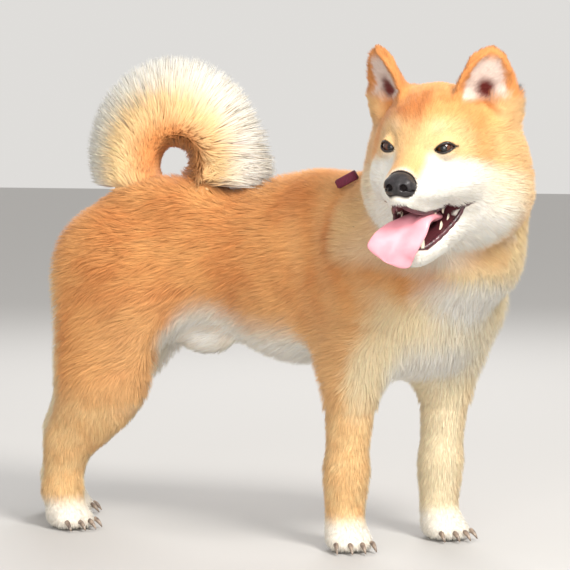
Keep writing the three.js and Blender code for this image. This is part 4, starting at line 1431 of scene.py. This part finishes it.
def add_lips(materials):
    left, right = lip_sides(UPPER_LIP)
    upper = curve_through(left[::-1] + right, LIP_STEPS)
    left, right = lip_sides(LOWER_LIP)
    lower = curve_through(left + [LOWER_LIP_FRONT] + right[::-1], LIP_STEPS) * (1, 1.04, 1) + (0, 0, 0.001)
    ends = np.sin(np.linspace(0.12, math.pi - 0.12, LIP_STEPS)) ** 0.5
    bumps = LIP_RADII["bumps"] * np.sin(np.arange(LIP_STEPS) * 1.9)
    parts = [tube(from_head(upper), LIP_RADII["upper"] * ends, 10),
             tube(from_head(lower), LIP_RADII["lower"] * ends + bumps, 12)]
    points, faces = merged(parts)
    finish_piece(new_mesh("lips", points, faces), materials["lip"], "nose_leather")


TONGUE_LINE = np.array([(8, 2, -61), (32, 4, -59), (54, 6, -57), (68, 5, -59), (78, 1, -68), (88, -10, -83),
                        (93, -18, -99)]) / 1000
TONGUE_HALF = np.array([0.014, 0.015, 0.0155, 0.0170, 0.0200, 0.0235, 0.0250])
TONGUE_THICK = np.array([0.006, 0.006, 0.006, 0.0055, 0.0045, 0.0034, 0.0026])
TONGUE_TIP_ACROSS = np.array([-0.37, 0.925, 0.08])  # the way its width lies at the tip


def add_tongue(materials):
    count = 70
    line = curve_through(TONGUE_LINE, count)
    tangent = unit(np.gradient(line, axis=0))
    at = np.linspace(0, len(TONGUE_HALF) - 1, count)
    halves = np.interp(at, np.arange(len(TONGUE_HALF)), TONGUE_HALF)
    thicknesses = np.interp(at, np.arange(len(TONGUE_HALF)), TONGUE_THICK)
    angles = np.linspace(0, 2 * math.pi, 48, endpoint=False)
    rings = []
    for i, (place, way) in enumerate(zip(line, tangent)):
        t = i / (count - 1)
        wide = np.array([0, 1.0, 0]) + (TONGUE_TIP_ACROSS - np.array([0, 1.0, 0])) * smooth(0.4, 0.9, t)
        wide = unit(wide - way * (way @ wide))
        top = np.cross(way, wide)
        end = math.sqrt(max(0.02, 1 - max(0.0, (t - 0.90) / 0.10) ** 3)) * math.sqrt(min(1.0, t * 12 + 0.1))
        ripple = 0.0010 * math.sin(t * 19) * smooth(0.5, 0.9, t)
        groove = 0.0020 * np.exp(-(np.cos(angles) / 0.25) ** 2) * np.sin(angles).clip(0)
        level = thicknesses[i] * np.sin(angles) * (0.4 + 0.6 * end) - groove + ripple * np.cos(angles) ** 3
        rings.append(place + (halves[i] * end * np.cos(angles))[:, None] * wide + level[:, None] * top)
    points, faces = lofted([from_head(ring) for ring in rings])
    finish_piece(new_mesh("tongue_flesh", points, faces), materials["tongue"], "tongue", "tongue")


def tooth(place, tall, long, thick, hook, way=1):
    """A tooth that stands on place in the head's frame. Its tip hooks back."""
    steps = np.linspace(0, 1, 9)
    angles = np.linspace(0, 2 * math.pi, 14, endpoint=False)
    rings = []
    for t in steps:
        share = math.sqrt(max(0.004, 1 - t ** 1.7)) * (1 - 0.35 * t)
        x = place[0] + np.cos(angles) * long / 2 * share - hook * t ** 2
        y = place[1] + np.sin(angles) * thick / 2 * share
        z = np.full(len(angles), place[2] + way * tall * t)
        rings.append(np.stack([x, y, z], 1))
    return lofted([from_head(ring) for ring in rings])


# Head x, half the distance between left and right, z of the root and height
LOWER_CHEEK_TEETH = ((0.0400, 0.0215, -0.0715, 0.0095), (0.0290, 0.0250, -0.0650, 0.0095))
UPPER_CHEEK_TEETH = ((0.0500, 0.0190, -0.0445, 0.0115), (0.0380, 0.0225, -0.0425, 0.0125))
INCISORS = ((0.0700, 0.0018, -0.0875, 0.006), (0.0700, 0.0050, -0.0875, 0.006))
CANINE = (0.0665, 0.0115, -0.087, 0.0135)


def add_teeth(materials):
    parts = []
    for out in SIDES.values():
        x, y, z, tall = CANINE
        parts.append(tooth((x, y * out, z), tall, 0.0066, 0.0052, 0.003))
        parts += [tooth((x, y * out, z), tall, 0.0110, 0.0040, 0.0) for x, y, z, tall in LOWER_CHEEK_TEETH]
        parts += [tooth((x, y * out, z), tall, 0.0032, 0.0030, 0.0) for x, y, z, tall in INCISORS]
        for x, y, z, tall in UPPER_CHEEK_TEETH:
            parts.append(tooth((x, y * out, z), tall, 0.0095, 0.0040, 0.0, -1))
    points, faces = merged(parts)
    finish_piece(new_mesh("teeth", points, faces), materials["tooth"], "tooth")


TOES = {"across": (-1.5, -0.5, 0.5, 1.5), "spread": 0.012, "reach": 0.027, "step": 0.007, "splay": 7}
CLAW = {"start": 0.012, "long": 0.0105, "high": 0.0105, "drop": 0.0085, "radius": 0.0030, "floor": 0.0006}


def add_claws(materials):
    parts = []
    for x, y, heading in FEET.values():
        ahead = np.array([math.cos(math.radians(heading)), math.sin(math.radians(heading))])
        side = np.array([-ahead[1], ahead[0]])
        for across in TOES["across"]:
            reach = TOES["reach"] - TOES["step"] * (abs(across) - 0.5)
            toe = np.array([x, y]) + ahead * reach + side * across * TOES["spread"]
            turn = math.radians(heading + TOES["splay"] * across)
            way = np.array([math.cos(turn), math.sin(turn)])
            steps = np.linspace(0, 1, 8)
            flat = toe + way * (CLAW["start"] + CLAW["long"] * steps[:, None])
            high = CLAW["high"] - CLAW["drop"] * steps ** 1.6
            path = np.concatenate([flat, high[:, None]], 1)
            parts.append(tube(path, CLAW["radius"] * (1 - steps ** 2.2 * 0.85) * 0.9 + 0.0001, 10))
    points, faces = merged(parts)
    points[:, 2] = np.maximum(points[:, 2], CLAW["floor"])
    finish_piece(new_mesh("claws", points, faces), materials["claw"], "claw")


COLLAR = {"lift": 0.0025, "wide": 0.013, "thick": 0.003, "steps": 120, "sides": 16}
TAB = {"wide": 0.0104, "thick": 0.0068, "steps": 12}
TAB_VIEW = ((338.5, 184.0), (357.0, 174.0))  # where the loose end of the collar shows, on the 570 image


def collar_reach(centre, ways, field, low):
    """How far the skin is from the neck's middle in each way, evened out round the neck."""
    steps = np.linspace(0.030, 0.095, 66)
    heights = sampled(field, low, centre + ways[:, None, :] * steps[None, :, None])
    reach = steps[np.argmax(heights > 0, axis=1)]
    smoothed = [np.roll(reach, shift) for shift in range(-6, 7)]
    return np.mean(smoothed, axis=0) + COLLAR["lift"]


def strap_outline(wide, thick):
    """The offsets across and out of a strap's rounded cross-section."""
    angles = np.linspace(0, 2 * math.pi, COLLAR["sides"], endpoint=False)
    across = np.sign(np.cos(angles)) * np.abs(np.cos(angles)) ** 0.4 * wide / 2
    out = np.sign(np.sin(angles)) * np.abs(np.sin(angles)) ** 0.6 * thick / 2
    return across, out


def add_collar(field, low, materials):
    """A webbing hoop that lies on the skin, deep in the coat."""
    centre = np.array(box_centre("collar"))
    axis = NECK_WAY / np.linalg.norm(NECK_WAY)
    first = np.cross(axis, (0, 1, 0))
    first = first / np.linalg.norm(first)
    second = np.cross(axis, first)
    along, out = strap_outline(COLLAR["wide"], COLLAR["thick"])
    count, sides = COLLAR["steps"], COLLAR["sides"]
    turns = 2 * math.pi * np.arange(count) / count
    radials = np.cos(turns)[:, None] * first + np.sin(turns)[:, None] * second
    reach = collar_reach(centre, radials, field, low)
    points, faces = [], []
    for i in range(count):
        points.append(centre + radials[i] * (reach[i] + out)[:, None] + along[:, None] * axis)
        a, b = i * sides + np.arange(sides), i * sides + (np.arange(sides) + 1) % sides
        c, d = (a + sides) % (count * sides), (b + sides) % (count * sides)
        faces += [np.stack([a, b, d], 1), np.stack([a, d, c], 1)]
    points = np.concatenate(points)
    piece = new_mesh("collar_band", points, outward(points, np.concatenate(faces)))
    finish_piece(piece, materials["collar_webbing"], "collar_webbing", "collar")


def seen_at(pixel, outline, low):
    """The place on the coat's outline that the camera sees at a pixel of the 570 image."""
    middle = IMAGE_SIDE / 2
    way = Vector(((pixel[0] - middle) / FOCAL_PIXELS, (middle - pixel[1]) / FOCAL_PIXELS, -1.0))
    way = np.array((CAMERA_TURN.to_matrix() @ way).normalized())
    place = np.array(CAMERA_AT) + way * 2.0
    for _ in range(400):
        gap = float(sampled(outline, low, place[None])[0])
        inside = np.all(place / VOXEL - low > 1) and np.all(place / VOXEL - low < np.array(outline.shape) - 2)
        if inside and gap < 0.0003:
            break
        place = place + way * (max(gap, 0.0003) if inside else 0.004)
    return place


def add_collar_end(outline, low, materials):
    """The loose end of the collar, which stands out of the coat behind the head."""
    left, right = (seen_at(pixel, outline, low) for pixel in TAB_VIEW)
    view = unit(np.array(CAMERA_AT) - left)
    along = unit(right - left)
    across = unit(np.cross(view, along))
    near = np.cross(along, across)
    near = near * np.sign(near @ view)
    wide, thick = strap_outline(TAB["wide"], TAB["thick"])
    rings = []
    for t in np.linspace(0, 1, TAB["steps"]):
        lift = 0.004 * math.sin(math.pi * t) + 0.003
        share = min(1.0, 0.80 + 3 * t)
        middle = left + (right - left) * t + near * lift
        rings.append(middle + (wide * share)[:, None] * across + thick[:, None] * near)
    points, faces = lofted(rings)
    finish_piece(new_mesh("collar_end", points, faces), materials["collar_webbing"], "collar_webbing")


# The whole dog

def main():
    add_camera()
    show_plain_colours()
    add_world()
    for name, spec in LIGHTS.items():
        add_area_light(name, spec)
    add_floor()
    materials = make_materials()
    points, triangles, field, outline, low = build_skin()
    normals = point_normals(points, triangles)
    skin = new_mesh("skin", points, triangles)
    paint(skin, skin_colour(points, normals))
    finish_piece(skin, materials["skin"], "red_coat", *FLESH)
    face_region = region_of(points[triangles].mean(1))
    for index, (name, spec) in enumerate(REGIONS.items()):
        parts = (points, triangles, normals, face_region, outline, low, index)
        grow_region(name, spec, parts, materials, np.random.default_rng([SEED, index]))
    grow_tail(points, triangles, normals, face_region, materials, np.random.default_rng([SEED, TAIL_SEED]))
    for side in SIDES:
        add_eye(side, materials)
    add_lid_rims(materials)
    add_nose(materials)
    add_lips(materials)
    add_tongue(materials)
    add_teeth(materials)
    add_claws(materials)
    add_collar(field, low, materials)
    add_collar_end(outline, low, materials)


main()
